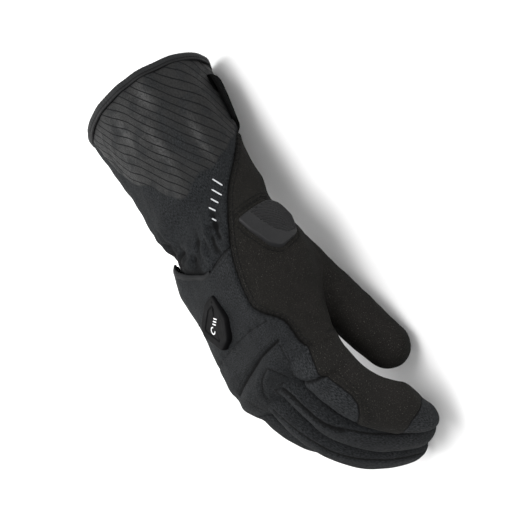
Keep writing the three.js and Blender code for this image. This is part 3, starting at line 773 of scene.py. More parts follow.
# %% [markdown]
# Both grids of the cuff get the same relief and the same measures, so they meet in one ring. The print is
# laid out from -90 to 270 degrees, so an angle past 270 is counted back by a full turn.

# %% Cut the cuff
cuff_fields = {
    "cloth_mm": [np.stack([y, side * SHELL_ARC], -1) for y, side, _ in cuff_grids],
    "seam_mm": [shell_seams(y, side, "cuff") for y, side, _ in cuff_grids],
}
for measure in (print_phase, print_cover, print_rub, print_painted_glint):
    cuff_fields[measure.__name__] = [measure(y, np.where(side > 270, side - 360, side))
                                     for y, side, _ in cuff_grids]
cuff_rings = [(cuff_surface(y, side), closed) for y, side, closed in cuff_grids]
cuff = make_piece("cuff_cloth", cuff_rings, cuff_fields, flip=True)
finish_cloth(cuff)

# %% [markdown]
# ## The fingers
# The index finger carries the suede round its thumb side and over its end, with a patch of cloth over the
# knuckle. The suede's edge is kept as a distance on the surface, so it stays sharp in the material.

# %% Outline patches on a rolled-out finger
def outline_distance(x, y, corners):
    """Distance to a closed outline, above zero inside it."""
    corners = np.asarray(corners, float)
    best = np.full(x.shape, 1e9)
    inside = np.zeros(x.shape, bool)
    for a, b in zip(corners, np.roll(corners, -1, 0)):
        edge = b - a
        t = np.clip(((x - a[0]) * edge[0] + (y - a[1]) * edge[1]) / (edge @ edge), 0, 1)
        best = np.minimum(best, np.hypot(x - a[0] - t * edge[0], y - a[1] - t * edge[1]))
        crossing = (a[1] > y) != (b[1] > y)
        slope = (b[0] - a[0]) / np.where(b[1] == a[1], 1e-9, b[1] - a[1])
        inside ^= crossing & (x < a[0] + (y - a[1]) * slope)
    return np.where(inside, best, -best)


TIP_SLOPE, TIP_SIDE = 12.0, -40.0
knuckle_patch = [(-0.10, 24), (0.00, 30), (0.10, 44), (0.20, 58), (0.22, 45), (0.30, 40), (0.385, 41),
                 (0.43, 51), (0.465, 74), (0.485, 100), (0.495, 130), (0.49, 205), (-0.10, 205)]
tip_patch = [(0.885, -45), (0.85, -20), (0.81, 5), (0.775, 28), (0.74, 55), (0.73, 90), (0.74, 150),
             (0.76, 205), (1.2, 205), (1.2, -60), (0.9, -60)]


def finger_places(tube, rows, columns):
    """Rows grow closer over the tip."""
    straight = 1 - tube.tip / tube.total
    body = np.linspace(0, straight, int(rows * straight), endpoint=False)
    tip = straight + (1 - straight) * np.sin(np.linspace(0, pi / 2, rows - len(body)))
    share, side = np.meshgrid(np.concatenate([body, tip]), np.linspace(-180, 180, columns, endpoint=False),
                              indexing="ij")
    return share, side


print("corners of the cloth on the index finger:", len(knuckle_patch) + len(tip_patch))

# %% [markdown]
# The index finger has a crease behind its knuckle, and the other fingers have a stitched line along them.
# The middle finger also has a slit beside the index finger. Each line is a few places read on a smooth
# curve, and it dents the finger and shows dark as the seams of the hand do. Fingers that lie side by side
# are pressed flat where they meet.

# %% Lines and relief on the fingers
# share along and degrees round for lines on the fingers
finger_lines = {
    "index_finger": [("crease", [(0.12, 150), (0.135, 125), (0.165, 105), (0.19, 80), (0.20, 60),
                                 (0.23, 30), (0.25, 5)])],
    "middle_finger": [("slit", [(0.00, 104), (0.05, 92), (0.12, 85), (0.25, 79), (0.36, 72), (0.42, 62)]),
                      ("stitch", [(0.02, 98), (0.10, 84), (0.25, 78), (0.36, 71), (0.44, 53), (0.54, 42),
                                  (0.65, 33), (0.85, 31), (0.95, 34)])],
    "ring_finger": [("stitch", [(0.10, 92), (0.25, 82), (0.36, 75), (0.44, 74), (0.54, 67), (0.61, 62),
                                (0.71, 59), (0.82, 60), (0.94, 70)])],
    "little_finger": [("stitch", [(0.15, 60), (0.40, 55), (0.7, 50), (0.94, 55)])],
}


def tube_line(places):
    """Shares and degrees on a smooth curve through a few places on a finger."""
    return places_along(places, 30 * len(places))


def lines_on(name):
    return [(kind, Line(tubes[name].point(*tube_line(places))))
            for kind, places in finger_lines.get(name, [])]


def neighbours(name):
    """The tubes beside a finger. The thumb stands alone."""
    order = list(finger_cuts)
    if name not in order:
        return []
    place = order.index(name)
    return [tubes[other] for other in order[max(place - 1, 0):place] + order[place + 1:place + 2]]


def finger_relief(name, share, side):
    """The relief of one finger, in millimetres outwards."""
    p = tubes[name].point(share, side)
    total = 0.30 * slow_waves(p, 24, 31 + len(name)) + 0.10 * slow_waves(p, 9, 7)
    total += corner_swell(shell_distance(p), 6.0, 1.4)
    for tube in neighbours(name):
        gap = tube.distance(p)
        total -= np.clip((0.5 - gap) / 2, 0, 1.6) * (gap > -5) + 0.7 * bump(gap - 0.6, 1.3)
    for kind, line in lines_on(name):
        away, along = line.reach(p)
        if kind == "crease":
            total += -(0.9 + 1.3 * smooth(side, 0, 55)) * bump(away, 1.7) + 0.7 * bump(away - 4, 2.6)
        elif kind == "slit":
            total += -1.3 * bump(away, 1.3) + 0.5 * bump(away - 3, 2.0)
        else:
            total += -0.75 * bump(away, 1.1) + 0.25 * bump(away - 2.6, 1.6)
            total += 0.12 * np.sin(2 * pi * along / 3.4) * bump(away, 3)
    return total


# how wide each kind of line shows dark: a smaller share of the distance makes it wider
line_share = {"crease": 0.7, "slit": 0.5, "stitch": 1.0}


def finger_seams(name, share, side):
    """Millimetres to the nearest place painted dark as shade: the root, the stitched lines and the
    neighbours.
    """
    p = tubes[name].point(share, side)
    near = np.abs(shell_distance(p)) * 0.8
    for kind, line in lines_on(name):
        fade = 1.6 * (1 - smooth(side, 30, 62)) if kind == "crease" else 0.0
        near = np.minimum(near, line.reach(p)[0] * line_share[kind] + fade)
    # painted shade where a finger lies against its neighbour
    for tube in neighbours(name):
        near = np.minimum(near, np.maximum(tube.distance(p), 0) * 0.45)
    return near


print("lines on the fingers:", {name: len(lines) for name, lines in finger_lines.items()})

# %% [markdown]
# Each finger is one tube of cloth, closed at its tip and open towards the hand. The suede of the index
# finger lies over its cloth, so it stands out by the thickness of the suede and dips along its edge.

# %% Sew the fingers and the thumb
FINGER_STEP, SUEDE_RISE = 1.05, 0.45


def finger_point(name, share, side, out=0.0):
    """A place on a finger. The end of the index finger slopes away on the palm side."""
    tube = tubes[name]
    p = tube.point(share, side, out)
    if name != "index_finger":
        return p
    turn = radians(TIP_SIDE)
    way = tube.read(tube.side, share) * cos(turn) + tube.read(tube.up, share) * sin(turn)
    level = ((p - tube.read(tube.line, share)) * way).sum(-1) / (tube.depth[1][0] / 2)
    drop = TIP_SLOPE * smooth(share, 0.72, 0.97) * (np.clip(level, -1, 1) + 1) / 2
    return p - way * drop[..., None]


def cloth_on_index(share, side):
    """Distance to the suede's edge on the index finger, above zero where the cloth shows."""
    length = tubes["index_finger"].total
    y = np.where(side < -60, side + 360, side) * FINGER_ARC
    return np.maximum(*[outline_distance(share * length, y, np.array(patch) * (length, FINGER_ARC))
                        for patch in (knuckle_patch, tip_patch)])


finger_pieces = {}
for name, tube in tubes.items():
    around = 2 * pi * np.mean(tube.half(np.array([0.3]))[:2])
    share, side = finger_places(tube, int(tube.total / FINGER_STEP), int(around / FINGER_STEP))
    relief = finger_relief(name, share, side)
    fields = {}
    if name == "index_finger":
        cloth = cloth_on_index(share, side)
        relief = relief + SUEDE_RISE * smooth(-cloth, -0.2, 1.0) - 0.35 * bump(cloth, 0.8)
        fields["cloth_edge"] = [cloth]
    points = finger_point(name, share, side, relief)
    points[-1] = points[-1].mean(0)
    fields["cloth_mm"] = [np.stack([share * tube.total, side * FINGER_ARC], -1)]
    fields["seam_mm"] = [finger_seams(name, share, side)]
    piece = make_piece(name + "_sewn", [(points, True)], fields, lambda p: shell_distance(p) < -5.0)
    finish_cloth(piece, FINGER_WALL)
    finger_pieces[name] = piece

# %% [markdown]
# ## Bindings and webbing
# The rim is bound with a folded tape, and a narrower binding finishes the open edge over the back of the
# wrist. Both are swept along the edge with a small section, so they pucker a little as a sewn tape does.

# %% Bind the rim
# millimetres from the rim along the arm, and how far out from the cloth
tape_section = np.array([
    (-4.4, -0.2), (-4.3, 0.7), (-3.9, 1.05), (-3.4, 0.95), (-2.9, 0.6), (-2.4, 1.0), (-1.6, 1.3),
    (-0.6, 1.35), (0.3, 1.15), (1.0, 0.5), (1.3, -0.8), (1.2, -2.4), (0.7, -3.6), (-0.6, -4.1),
    (-2.0, -4.1), (-4.0, -4.1), (-4.3, -3.4), (-4.3, -3.0),
])
TAPE_STITCH, TAPE_EDGE = 2.9, 4.6  # how far the stitches and the edge of the tape lie from the rim


def rim_relief(y, side):
    """The tape is stiffer than the cuff, so it takes up only part of the relief at the rim."""
    return 0.6 * cuff_relief(np.full_like(y, CUFF_LENGTH), side)


rim_side = np.linspace(0, 360, 420, endpoint=False)
tape_y = CUFF_LENGTH + tape_section[:, 0][:, None] + 0 * rim_side
tape_turn = np.broadcast_to(rim_side, tape_y.shape)
tape_out = tape_section[:, 1][:, None] + 0.16 * np.sin(rim_side * 1.9) * np.sin(rim_side / 7)
tape_points = shell_point(tape_y, tape_turn, tape_out + rim_relief(tape_y, tape_turn))
from_rim = tape_y - CUFF_LENGTH
binding = make_piece("rim_binding", [(tape_points, True)], {
    "cloth_mm": [np.stack([tape_y, tape_turn * SHELL_ARC], -1)],
    "seam_mm": [np.minimum(np.abs(from_rim + TAPE_STITCH), np.abs(from_rim + TAPE_EDGE)) * 1.3],
})
finish_cloth(binding, TAPE_WALL)

# %% [markdown]
# The binding over the wrist is a flattened cord that follows the edge of the hand's back. Sweeping a small
# ring of points along the edge keeps it even, and the surface's own normal tells it which way is out.

# %% Bind the edge over the wrist
def swept(points, normals, halves, lift, sides=12):
    """A flattened cord along points: halves are its half width along the surface and its half height."""
    ahead = np.gradient(points, axis=0)
    ahead /= np.linalg.norm(ahead, axis=1)[:, None]
    across = np.cross(ahead, normals)
    turns = np.linspace(0, 2 * pi, sides, endpoint=False)
    return (points[:, None] + normals[:, None] * lift
            + across[:, None] * (halves[0] * np.cos(turns))[None, :, None]
            + normals[:, None] * (halves[1] * np.sin(turns))[None, :, None])


def surface_normals(surface, y, side):
    """Which way is out of a surface at some places on it."""
    a = surface(y + 0.4, side) - surface(y - 0.4, side)
    b = surface(y, side + 0.4) - surface(y, side - 0.4)
    n = np.cross(b, a)
    n /= np.linalg.norm(n, axis=-1)[..., None]
    return n


pipe_side = np.linspace(75, 197, 190)
pipe_y = seam_y(pipe_side)
pipe_points = shell_point(pipe_y - 0.6, pipe_side, back_relief(pipe_y - 1.0, pipe_side) - 0.4)
pipe_normals = surface_normals(shell_point, pipe_y, pipe_side)
piping_points = swept(pipe_points, pipe_normals, (2.1, 1.25), 0.5)
pipe_along, pipe_round = np.meshgrid(np.linspace(0, 120, 190), np.arange(12) * 0.8, indexing="ij")
piping = make_piece("wrist_binding", [(piping_points, True)],
                    {"cloth_mm": [np.stack([pipe_round, pipe_along], -1)]})
finish_cloth(piping, wall=0)

# %% [markdown]
# The closing tab is a loop of flat webbing, sewn down along both ends, that bows off the cuff between them.
# Ribs of a few tenths of a millimetre run along it, as woven tape has.

# %% Fold the webbing tab
TAB_LENGTH, TAB_FROM_RIM, TAB_THICK, TAB_BOW = 33.0, 11.0, 2.2, 1.0
TAB_SKEW = 11.0  # degrees that its lower end lies further under the cuff
tab_top = CUFF_LENGTH - 6.0 - TAB_FROM_RIM
tab_side = np.linspace(-82, -22, 120)
tab_share = np.linspace(0, 1, 120)
tab_bow = TAB_BOW * np.sin(pi * tab_share) ** 2 - 1.0 * smooth(np.abs(tab_share - 0.5), 0.44, 0.5)


def tab_row(y, out):
    """A line round the cuff, a length up the tab."""
    skewed = tab_side - TAB_SKEW * (1 - y / TAB_LENGTH)
    return shell_point(np.full(len(tab_side), tab_top - TAB_LENGTH + y), skewed, out)


tab_rows = []
flat_part = [(y, 1.0) for y in np.linspace(0.4, TAB_LENGTH - 0.4, 60)]
for y, high in [(0.0, 0.35), (0.1, 0.8)] + flat_part + [(TAB_LENGTH - 0.1, 0.8), (TAB_LENGTH, 0.35)]:
    rib = 0.14 * np.sin(2 * pi * y / 2.4)
    tab_rows.append(tab_row(y, 0.3 + tab_bow + TAB_THICK * high + rib * (high == 1.0)))
tab_rows += [tab_row(y, 0.4 + tab_bow) for y in (TAB_LENGTH, TAB_LENGTH - 0.5, 0.5, 0.0)]
tab_points = np.array(tab_rows).transpose(1, 0, 2)
tab_mm = np.stack([np.linspace(0, 52, 120)[:, None] + 0 * tab_points[..., 0], tab_points[..., 1]], -1)
tab = make_piece("webbing_tab", [(tab_points, True)], {"cloth_mm": [tab_mm]}, flip=True)
finish_cloth(tab, wall=0)

# %% [markdown]
# ## The heating switch
# A cap of soft rubber with seven rounded corners stands on the back of the hand. It has a rounded shoulder,
# a flat rim and a sunk field. Its marks are plain: three bars for the heat steps and an open ring that
# stands for power.

# %% Mould the switch
BUTTON_WIDTH, BUTTON_LENGTH, BUTTON_HEIGHT = 34.0, 33.0, 2.7
BUTTON_X, BUTTON_Y = -2.0, -52.8
button_corners = np.array([(0.44, 0.48), (0.04, 0.50), (-0.44, 0.26), (-0.50, 0.06), (-0.12, -0.50),
                           (0.26, -0.44), (0.50, -0.10)]) * (BUTTON_WIDTH, BUTTON_LENGTH)


def rounded_outline(corners, radius, count=8):
    """Points of a closed outline whose corners are rounded."""
    points = []
    for k, corner in enumerate(corners):
        before, after = corners[k - 1], corners[(k + 1) % len(corners)]
        enter = corner + (before - corner) / np.linalg.norm(before - corner) * radius
        leave = corner + (after - corner) / np.linalg.norm(after - corner) * radius
        for t in np.linspace(0, 1, count):
            points.append((1 - t)**2 * enter + 2 * t * (1 - t) * corner + t**2 * leave)
    points = np.array(points)
    closed = np.vstack([points, points[:1]])
    run = np.concatenate([[0], np.cumsum(np.linalg.norm(np.diff(closed, axis=0), axis=1))])
    even = np.linspace(0, run[-1], 160, endpoint=False)
    return np.stack([np.interp(even, run, closed[:, k]) for k in range(2)], -1)


def inset(outline, distance):
    """Moves a rounded outline inwards."""
    tangent = np.roll(outline, -1, 0) - np.roll(outline, 1, 0)
    tangent /= np.linalg.norm(tangent, axis=1)[:, None]
    normal = np.stack([-tangent[:, 1], tangent[:, 0]], -1)
    middle = outline.mean(0)
    normal *= np.sign(((middle - outline) * normal).sum(1))[:, None]
    moved = outline + normal * distance
    for _ in range(3):
        moved = (np.roll(moved, 1, 0) + 2 * moved + np.roll(moved, -1, 0)) / 4
    return moved


FIELD_INSET, FIELD_DEPTH = 6.2, 0.5
button_top = float(shell_point(BUTTON_Y, 90.0, BUTTON_HEIGHT)[2])
outline = rounded_outline(button_corners, 2.6)
# inset, depth below the top
button_steps = [(0.0, 11.0), (0.0, 2.6), (0.1, 1.0), (0.45, 0.3), (1.1, 0.05), (2.6, 0.0), (4.8, 0.0),
                (5.5, 0.08), (5.8, 0.4), (FIELD_INSET, FIELD_DEPTH)]
rings = []
for step, down in button_steps:
    flat = inset(outline, step)
    rings.append(np.column_stack([flat + (BUTTON_X, BUTTON_Y), np.full(len(flat), button_top - down)]))
field = inset(outline, FIELD_INSET)
for share in (0.7, 0.4, 0.15, 0.0):
    flat = field.mean(0) + (field - field.mean(0)) * share + (BUTTON_X, BUTTON_Y)
    rings.append(np.column_stack([flat, np.full(len(flat), button_top - FIELD_DEPTH)]))
button = make_piece("switch_cap", [(np.array(rings), True)])
finish_cloth(button, wall=0)


print("switch top at", round(button_top, 1), "mm above the arm's middle")

# %% [markdown]
# The marks are thin raised shapes, painted light. A bar is a flat plate, and the open ring is a row of short
# plates round its middle, so that both are laid in the same way.

# %% Raise the marks
MARK_LIFT = 0.16
mark_middle = np.array([BUTTON_X + 0.8, BUTTON_Y + 0.6])
axis, cross = np.array([-0.90, -0.43]), np.array([0.75, -0.66])


def flat_mark(corners, middle):
    """A thin raised plate on the switch, from corners in millimetres round a middle."""
    low = button_top - FIELD_DEPTH
    return np.array([np.column_stack([np.asarray(corners) * s + middle, np.full(len(corners), low + z)])
                     for s, z in ((1, -0.05), (1, MARK_LIFT), (0, MARK_LIFT))])


mark_rings = []
for place in (-5.2, -3.0, -0.8):
    bar = [cross * a + axis * b for a, b in ((-1.9, -0.45), (1.9, -0.45), (1.9, 0.45), (-1.9, 0.45))]
    mark_rings.append((flat_mark(bar, axis * place + mark_middle), True))
turns = np.radians(np.linspace(40, 320, 24))
for a, b in zip(turns[:-1], turns[1:]):
    arc = [(cos(t) * radius, sin(t) * radius) for t, radius in ((a, 2.6), (b, 2.6), (b, 1.8), (a, 1.8))]
    middle = np.mean(arc, 0)
    mark_rings.append((flat_mark(arc - middle, middle + axis * 4.2 + mark_middle), True))
marks = make_piece("switch_marks", mark_rings)
print("plates in the marks:", len(mark_rings))

# %% [markdown]
# ## The moulded wrist patch
# A rubber patch protects the thumb side of the wrist. Its lower and thumb edges are a smooth bevelled band,
# and fine slanting ridges fill the field inside. It is laid on the shell from its outline seen sideways.

# %% Mould the patch
PATCH_WIDTH, PATCH_LENGTH, PATCH_HEIGHT = 38.0, 37.0, 2.6
PATCH_Y, PATCH_Z = -18.0, -4.0
patch_corners = np.array([(0.42, 0.30), (-0.22, 0.50), (-0.46, 0.42), (-0.54, 0.10), (-0.40, -0.32),
                          (0.02, -0.52), (0.20, -0.40), (0.36, -0.04)]) * (PATCH_WIDTH, PATCH_LENGTH)


def side_at_height(y, z):
    """Degrees round the thumb side of the shell at a height."""
    depth, middle, square = (read_table(shell_rows, k, y) for k in (2, 4, 5))
    share = np.clip((z - middle) / (depth / 2), -0.98, 0.98)
    return np.degrees(np.arcsin(np.sign(share) * np.abs(share) ** (square / 2)))


patch_outline = rounded_outline(patch_corners, 3.0)
shares = np.concatenate([np.linspace(0, 0.8, 60), np.linspace(0.8, 1, 26)[1:]])
grid = patch_outline.mean(0) + shares[:, None, None] * (patch_outline - patch_outline.mean(0))
edge_away = outline_distance(grid[..., 0], grid[..., 1], patch_outline)
ridge_place = grid[..., 0] * 0.55 - grid[..., 1] * 0.835 - 0.022 * (grid[..., 0] + 6) ** 2
field_corners = np.array([(0.22, 0.34), (-0.22, 0.455), (-0.43, 0.385), (-0.50, 0.09), (-0.40, -0.24),
                          (-0.16, -0.30), (0.02, -0.16), (0.14, 0.04)]) * (PATCH_WIDTH, PATCH_LENGTH)
field_away = outline_distance(grid[..., 0], grid[..., 1], rounded_outline(field_corners, 2.5))
on_field = smooth(field_away, 0.0, 0.9)
ridges = 0.42 * np.sin(2 * pi * ridge_place / 2.1) * on_field
bevel = PATCH_HEIGHT * smooth(edge_away, -0.1, 1.5) - 0.9 * (1 - smooth(edge_away, -0.1, 0.6))
height = bevel - 0.45 * on_field + ridges
patch_y = PATCH_Y + grid[..., 1]
patch_z = PATCH_Z + grid[..., 0]
patch_points = shell_point(patch_y, side_at_height(patch_y, patch_z), 0.3 + height)
patch = make_piece("wrist_patch_rubber", [(patch_points, True)], {"ridge_field": [on_field]}, flip=True)
finish_cloth(patch, wall=0)

# %% [markdown]
# ## Stitches
# The thread shows as short dark bars, each sunk at its ends. They are real geometry, one joined mesh for
# each panel, laid on the finished surface along lines beside the seams.

# %% Lay rows of stitches
def stitch_points(surface, y, side, pitch=STITCH_PITCH, start=0.0, normals=surface_normals):
    """Evenly spaced places, headings and normals along a line on a surface."""
    fine_line = surface(y, side)
    run = np.concatenate([[0], np.cumsum(np.linalg.norm(np.diff(fine_line, axis=0), axis=1))])
    at = np.arange(start + pitch / 2, run[-1] - pitch / 2, pitch)
    ys, sides = np.interp(at, run, y), np.interp(at, run, side)
    here = surface(ys, sides)
    ahead = surface(np.interp(at + 0.6, run, y), np.interp(at + 0.6, run, side)) - here
    ahead /= np.linalg.norm(ahead, axis=1)[:, None]
    return here, ahead, normals(surface, ys, sides)


def stitches(name, rows, length, thick):
    """One mesh of small thread bars from [(places, headings, normals)]."""
    profile = [(-0.5, 0.35, -0.35), (-0.38, 0.8, 0.02), (0.0, 1.0, 0.16), (0.38, 0.8, 0.02),
               (0.5, 0.35, -0.35)]
    turns = np.linspace(0, 2 * pi, 6, endpoint=False)[:, None]
    grids = []
    for here, ahead, normal in rows:
        across = np.cross(normal, ahead)
        for p, a, c, n in zip(here, ahead, across, normal):
            ring = [p + a * length * t + n * (lift * thick + 0.05)
                    + (c[None] * np.cos(turns) + n[None] * np.sin(turns)) * thick / 2 * round_
                    for t, round_, lift in profile]
            grids.append((np.array(ring), True))
    piece = make_piece(name, grids)
    finish_cloth(piece, wall=0)
    return piece


print("one stitch every", STITCH_PITCH, "mm")

# %% [markdown]
# Two rows hold the edge of the suede on the thumb side and one on the far side. A row runs round the patch,
# and two more cross the suede on its cuff side. Each row lies a set distance from a seam or an outline, which
# is how a sewing machine's foot is guided.

# %% Stitch the suede
def beside_seam(column, offset, low, high, count=400):
    """A line beside the palm's seam, offset in millimetres round the shell."""
    y = np.linspace(low, high, count)
    return y, seam_side(y, column) + offset / SHELL_ARC


suede_rows = [stitch_points(palm_surface, *beside_seam(1, -2.3, -104, 57)),
              stitch_points(palm_surface, *beside_seam(1, -4.9, -104, 55), start=1.5),
              stitch_points(palm_surface, *beside_seam(2, 2.3, -100, 57))]
patch_ring = inset(patch_outline, -2.4)
patch_ring = np.vstack([patch_ring, patch_ring[:1]])
ring_y, ring_z = PATCH_Y + patch_ring[:, 1], PATCH_Z + patch_ring[:, 0]
suede_rows.append(stitch_points(palm_surface, ring_y, side_at_height(ring_y, ring_z) % 360))
for away in (3.6, 6.2):
    line_z = np.linspace(16, -18, 60)
    line_y = PATCH_Y + 0.30 * PATCH_LENGTH + away + np.interp(line_z, [-18, -8, 16], [8.0, 7.5, 0.0])
    suede_rows.append(stitch_points(palm_surface, line_y, side_at_height(line_y, PATCH_Z + line_z)))
suede_stitches = stitches("suede_stitches", suede_rows, length=2.1, thick=1.05)

# %% [markdown]
# On the back the rows run behind the pleat, over the knuckles, beside the tapes between the fingers and
# across the wrist. The thread is finer there.

# %% Stitch the back of the hand
back_lines = [
    [(-75, 44), (-73, 62), (-72, 78), (-71, 90), (-70, 112), (-68, 140), (-66, 170)],
    [(-86.5, 44), (-87, 53), (-87.5, 71), (-88.5, 89), (-89, 105), (-89.5, 124)],
    [(-92, 42), (-98, 43), (-104, 47)],
    [(-99.0, 69.5), (-103, 66), (-107, 64)],
    [(-99.0, 69.5), (-101, 81), (-105, 92), (-109, 101)],
    [(-101.5, 108.5), (-105, 115), (-109, 121)],
    [(-25, 50), (-26.5, 62), (-27, 74)],
]
back_rows = [stitch_points(back_surface, *places_along(places, 200), 2.6) for places in back_lines]
back_stitches = stitches("back_stitches", back_rows, length=1.6, thick=0.6)

# %% [markdown]
# Short light dashes are printed in a row on the softshell beside the suede's edge, as a reflective film.

# %% Print the dashes
dash_places = [((26.0, 29.5), (19.0, 22.5)), ((20.5, 35.0), (13.5, 28.0)), ((15.7, 40.5), (10.3, 35.5)),
               ((11.7, 47.0), (7.0, 42.5)), ((4.5, 50.5), (1.0, 47.0))]


def film_strip(surface, start, end, width=0.9, lift=0.12, columns=14):
    """A thin raised strip on a surface between two places."""
    t = np.linspace(0, 1, columns)
    y, side = start[0] + (end[0] - start[0]) * t, start[1] + (end[1] - start[1]) * t
    middle = surface(y, side)
    normal = surface_normals(surface, y, side)
    ahead = np.gradient(middle, axis=0)
    across = np.cross(normal, ahead / np.linalg.norm(ahead, axis=1)[:, None])
    half = width / 2 * np.sqrt(np.clip(1 - (2 * t - 1) ** 8, 0.02, 1))[:, None]
    corners = [(-1, -0.3), (-1, lift), (0, lift + 0.04), (1, lift), (1, -0.3)]
    return np.stack([middle + across * half * a + normal * b for a, b in corners], 1)


dashes = make_piece("print_dashes", [(film_strip(cuff_surface, a, b), True) for a, b in dash_places])
finish_cloth(dashes, wall=0)

# %% [markdown]
# One row of stitches runs round the rim tape, in the groove that the thread pulls into it.

# %% Stitch the rim
def tape_surface(y, side):
    return shell_point(y, side, 0.6 + rim_relief(y, side))


rim_line = np.linspace(0, 360, 500)
rim_rows = [stitch_points(tape_surface, np.full(500, CUFF_LENGTH - TAPE_STITCH), rim_line, 3.2)]
rim_stitches = stitches("rim_stitches", rim_rows, length=2.2, thick=0.55)

# %% [markdown]
# On the fingers a place is a share and not a length, so a step along is much smaller in numbers than a step
# round, and the normals are taken with steps that suit both. The index finger has two rows beside its cloth.

# %% Stitch the fingers
def finger_surface(name):
    def surface(share, side):
        relief = finger_relief(name, share, side)
        if name == "index_finger":
            relief = relief + SUEDE_RISE * smooth(-cloth_on_index(share, side), -0.2, 1.0)
        return finger_point(name, share, side, relief)
    return surface


def finger_normals(name):
    def normals(surface, share, side):
        a = surface(share + 0.004, side) - surface(share - 0.004, side)
        b = surface(share, side + 1.5) - surface(share, side - 1.5)
        normal = np.cross(a, b)
        normal /= np.linalg.norm(normal, axis=1)[:, None]
        outwards = surface(share, side) - tubes[name].read(tubes[name].line, share)
        return normal * np.sign((normal * outwards).sum(1))[:, None]
    return normals


def finger_row(name, places, pitch):
    return stitch_points(finger_surface(name), *tube_line(places), pitch, normals=finger_normals(name))


finger_rows = []
for name in ("middle_finger", "ring_finger", "little_finger"):
    _, places = finger_lines[name][-1]
    finger_rows.append(finger_row(name, places, 2.3))
edge = np.array([(0.205, 53), *knuckle_patch[4:10]])
shift = np.array([(0.0, -1), (0.0, -1), (0.0, -1), (0.3, -0.95), (0.75, -0.6), (0.95, -0.3), (1, 0)])
for offset in (2.4, 5.0):
    moved = edge + shift * (offset / tubes["index_finger"].total, offset / FINGER_ARC)
    finger_rows.append(finger_row("index_finger", moved, 2.6))
finger_stitches = stitches("finger_stitches", finger_rows, length=1.5, thick=0.6)

# %% [markdown]
# ## Finishes
# Four kinds of cloth share the same few effects: a weave that runs with the cloth, the uneven tone of
# mixed yarn, and small light fibres. Each effect is a node group, built once and used with other values.

# %% Small helpers for materials
SOCKETS = {"place": "NodeSocketVector", "value": "NodeSocketFloat", "colour": "NodeSocketColor"}


def new_group(name, inputs, outputs):
    """An empty node group from {label: kind}, with the sockets it takes in and those it puts out."""
    group = bpy.data.node_groups.new(name, "ShaderNodeTree")
    for way, labels in (("INPUT", inputs), ("OUTPUT", outputs)):
        for label, kind in labels.items():
            group.interface.new_socket(name=label, in_out=way, socket_type=SOCKETS[kind])
    return group, group.nodes.new("NodeGroupInput").outputs, group.nodes.new("NodeGroupOutput").inputs


def add(tree, kind, inputs=None, **settings):
    """A node with its settings, and each input linked to a socket or set to a value."""
    made = tree.nodes.new(kind)
    for key, value in settings.items():
        setattr(made, key, value)
    for key, value in (inputs or {}).items():
        if isinstance(value, bpy.types.NodeSocket):
            tree.links.new(value, made.inputs[key])
        else:
            made.inputs[key].default_value = value
    return made


def math(tree, operation, a, b=0.5, c=0.0):
    return add(tree, "ShaderNodeMath", {0: a, 1: b, 2: c}, operation=operation).outputs[0]


def times(tree, a, b):
    return math(tree, "MULTIPLY", a, b)


def one_minus(tree, value):
    return math(tree, "SUBTRACT", 1.0, value)


def mix_colour(tree, share, a, b):
    return add(tree, "ShaderNodeMix", {0: share, 6: a, 7: b}, data_type="RGBA").outputs[2]


def noise(tree, place, scale, detail, **others):
    inputs = {"Vector": place, "Scale": scale, "Detail": detail, **others}
    return add(tree, "ShaderNodeTexNoise", inputs).outputs[0]


def ramp(tree, value, low, high):
    made = add(tree, "ShaderNodeMapRange", {0: value, 1: low, 2: high}, interpolation_type="SMOOTHSTEP")
    return made.outputs[0]


def use_group(tree, group, inputs):
    return add(tree, "ShaderNodeGroup", inputs, node_tree=group).outputs


def tone(r, g, b):
    """A colour as seen on a screen, 0 to 255, as a linear colour."""
    def linear(v):
        v /= 255
        return v / 12.92 if v <= 0.04045 else ((v + 0.055) / 1.055) ** 2.4
    return (linear(r), linear(g), linear(b), 1.0)


print("kinds of group sockets:", list(SOCKETS))

# %% [markdown]
# ### Weave, yarn, fibres and brushing
# The weave is two crossed sine waves over the cloth's own lengths, in millimetres. Mixed yarn is noise
# stretched along the yarn. Fibres are noise cut so high that only specks are left. Brushing is wide slow
# noise, a little twisted.

# %% Build the small effects
weave_group, taken, given = new_group(
    "cloth weave", {"Place": "place", "Pitch mm": "value", "Slant": "value"}, {"Height": "value"})
parts = add(weave_group, "ShaderNodeSeparateXYZ", {0: taken["Place"]}).outputs
slanted = math(weave_group, "ADD", parts[0], times(weave_group, parts[1], taken["Slant"]))
turn_per_mm = math(weave_group, "DIVIDE", 2 * pi, taken["Pitch mm"])
wave_a = math(weave_group, "SINE", times(weave_group, slanted, turn_per_mm))
wave_b = math(weave_group, "SINE", times(weave_group, parts[1], turn_per_mm))
crossed = math(weave_group, "MULTIPLY_ADD", wave_a, wave_b, wave_a)
weave_group.links.new(math(weave_group, "MULTIPLY_ADD", crossed, 0.25, 0.5), given["Height"])

yarn_group, taken, given = new_group("mixed yarn", {"Place": "place", "Along": "value", "Fineness": "value"},
                                     {"Tone": "value", "Patches": "value"})
parts = add(yarn_group, "ShaderNodeSeparateXYZ", {0: taken["Place"]}).outputs
along = times(yarn_group, parts[0], taken["Along"])
stretched = add(yarn_group, "ShaderNodeCombineXYZ", {0: along, 1: parts[1]}).outputs[0]
threads = noise(yarn_group, stretched, taken["Fineness"], 4.0, Roughness=0.7)
clouds = noise(yarn_group, taken["Place"], 0.09, 3.0)
yarn_group.links.new(ramp(yarn_group, threads, 0.36, 0.66), given["Tone"])
yarn_group.links.new(ramp(yarn_group, clouds, 0.3, 0.7), given["Patches"])

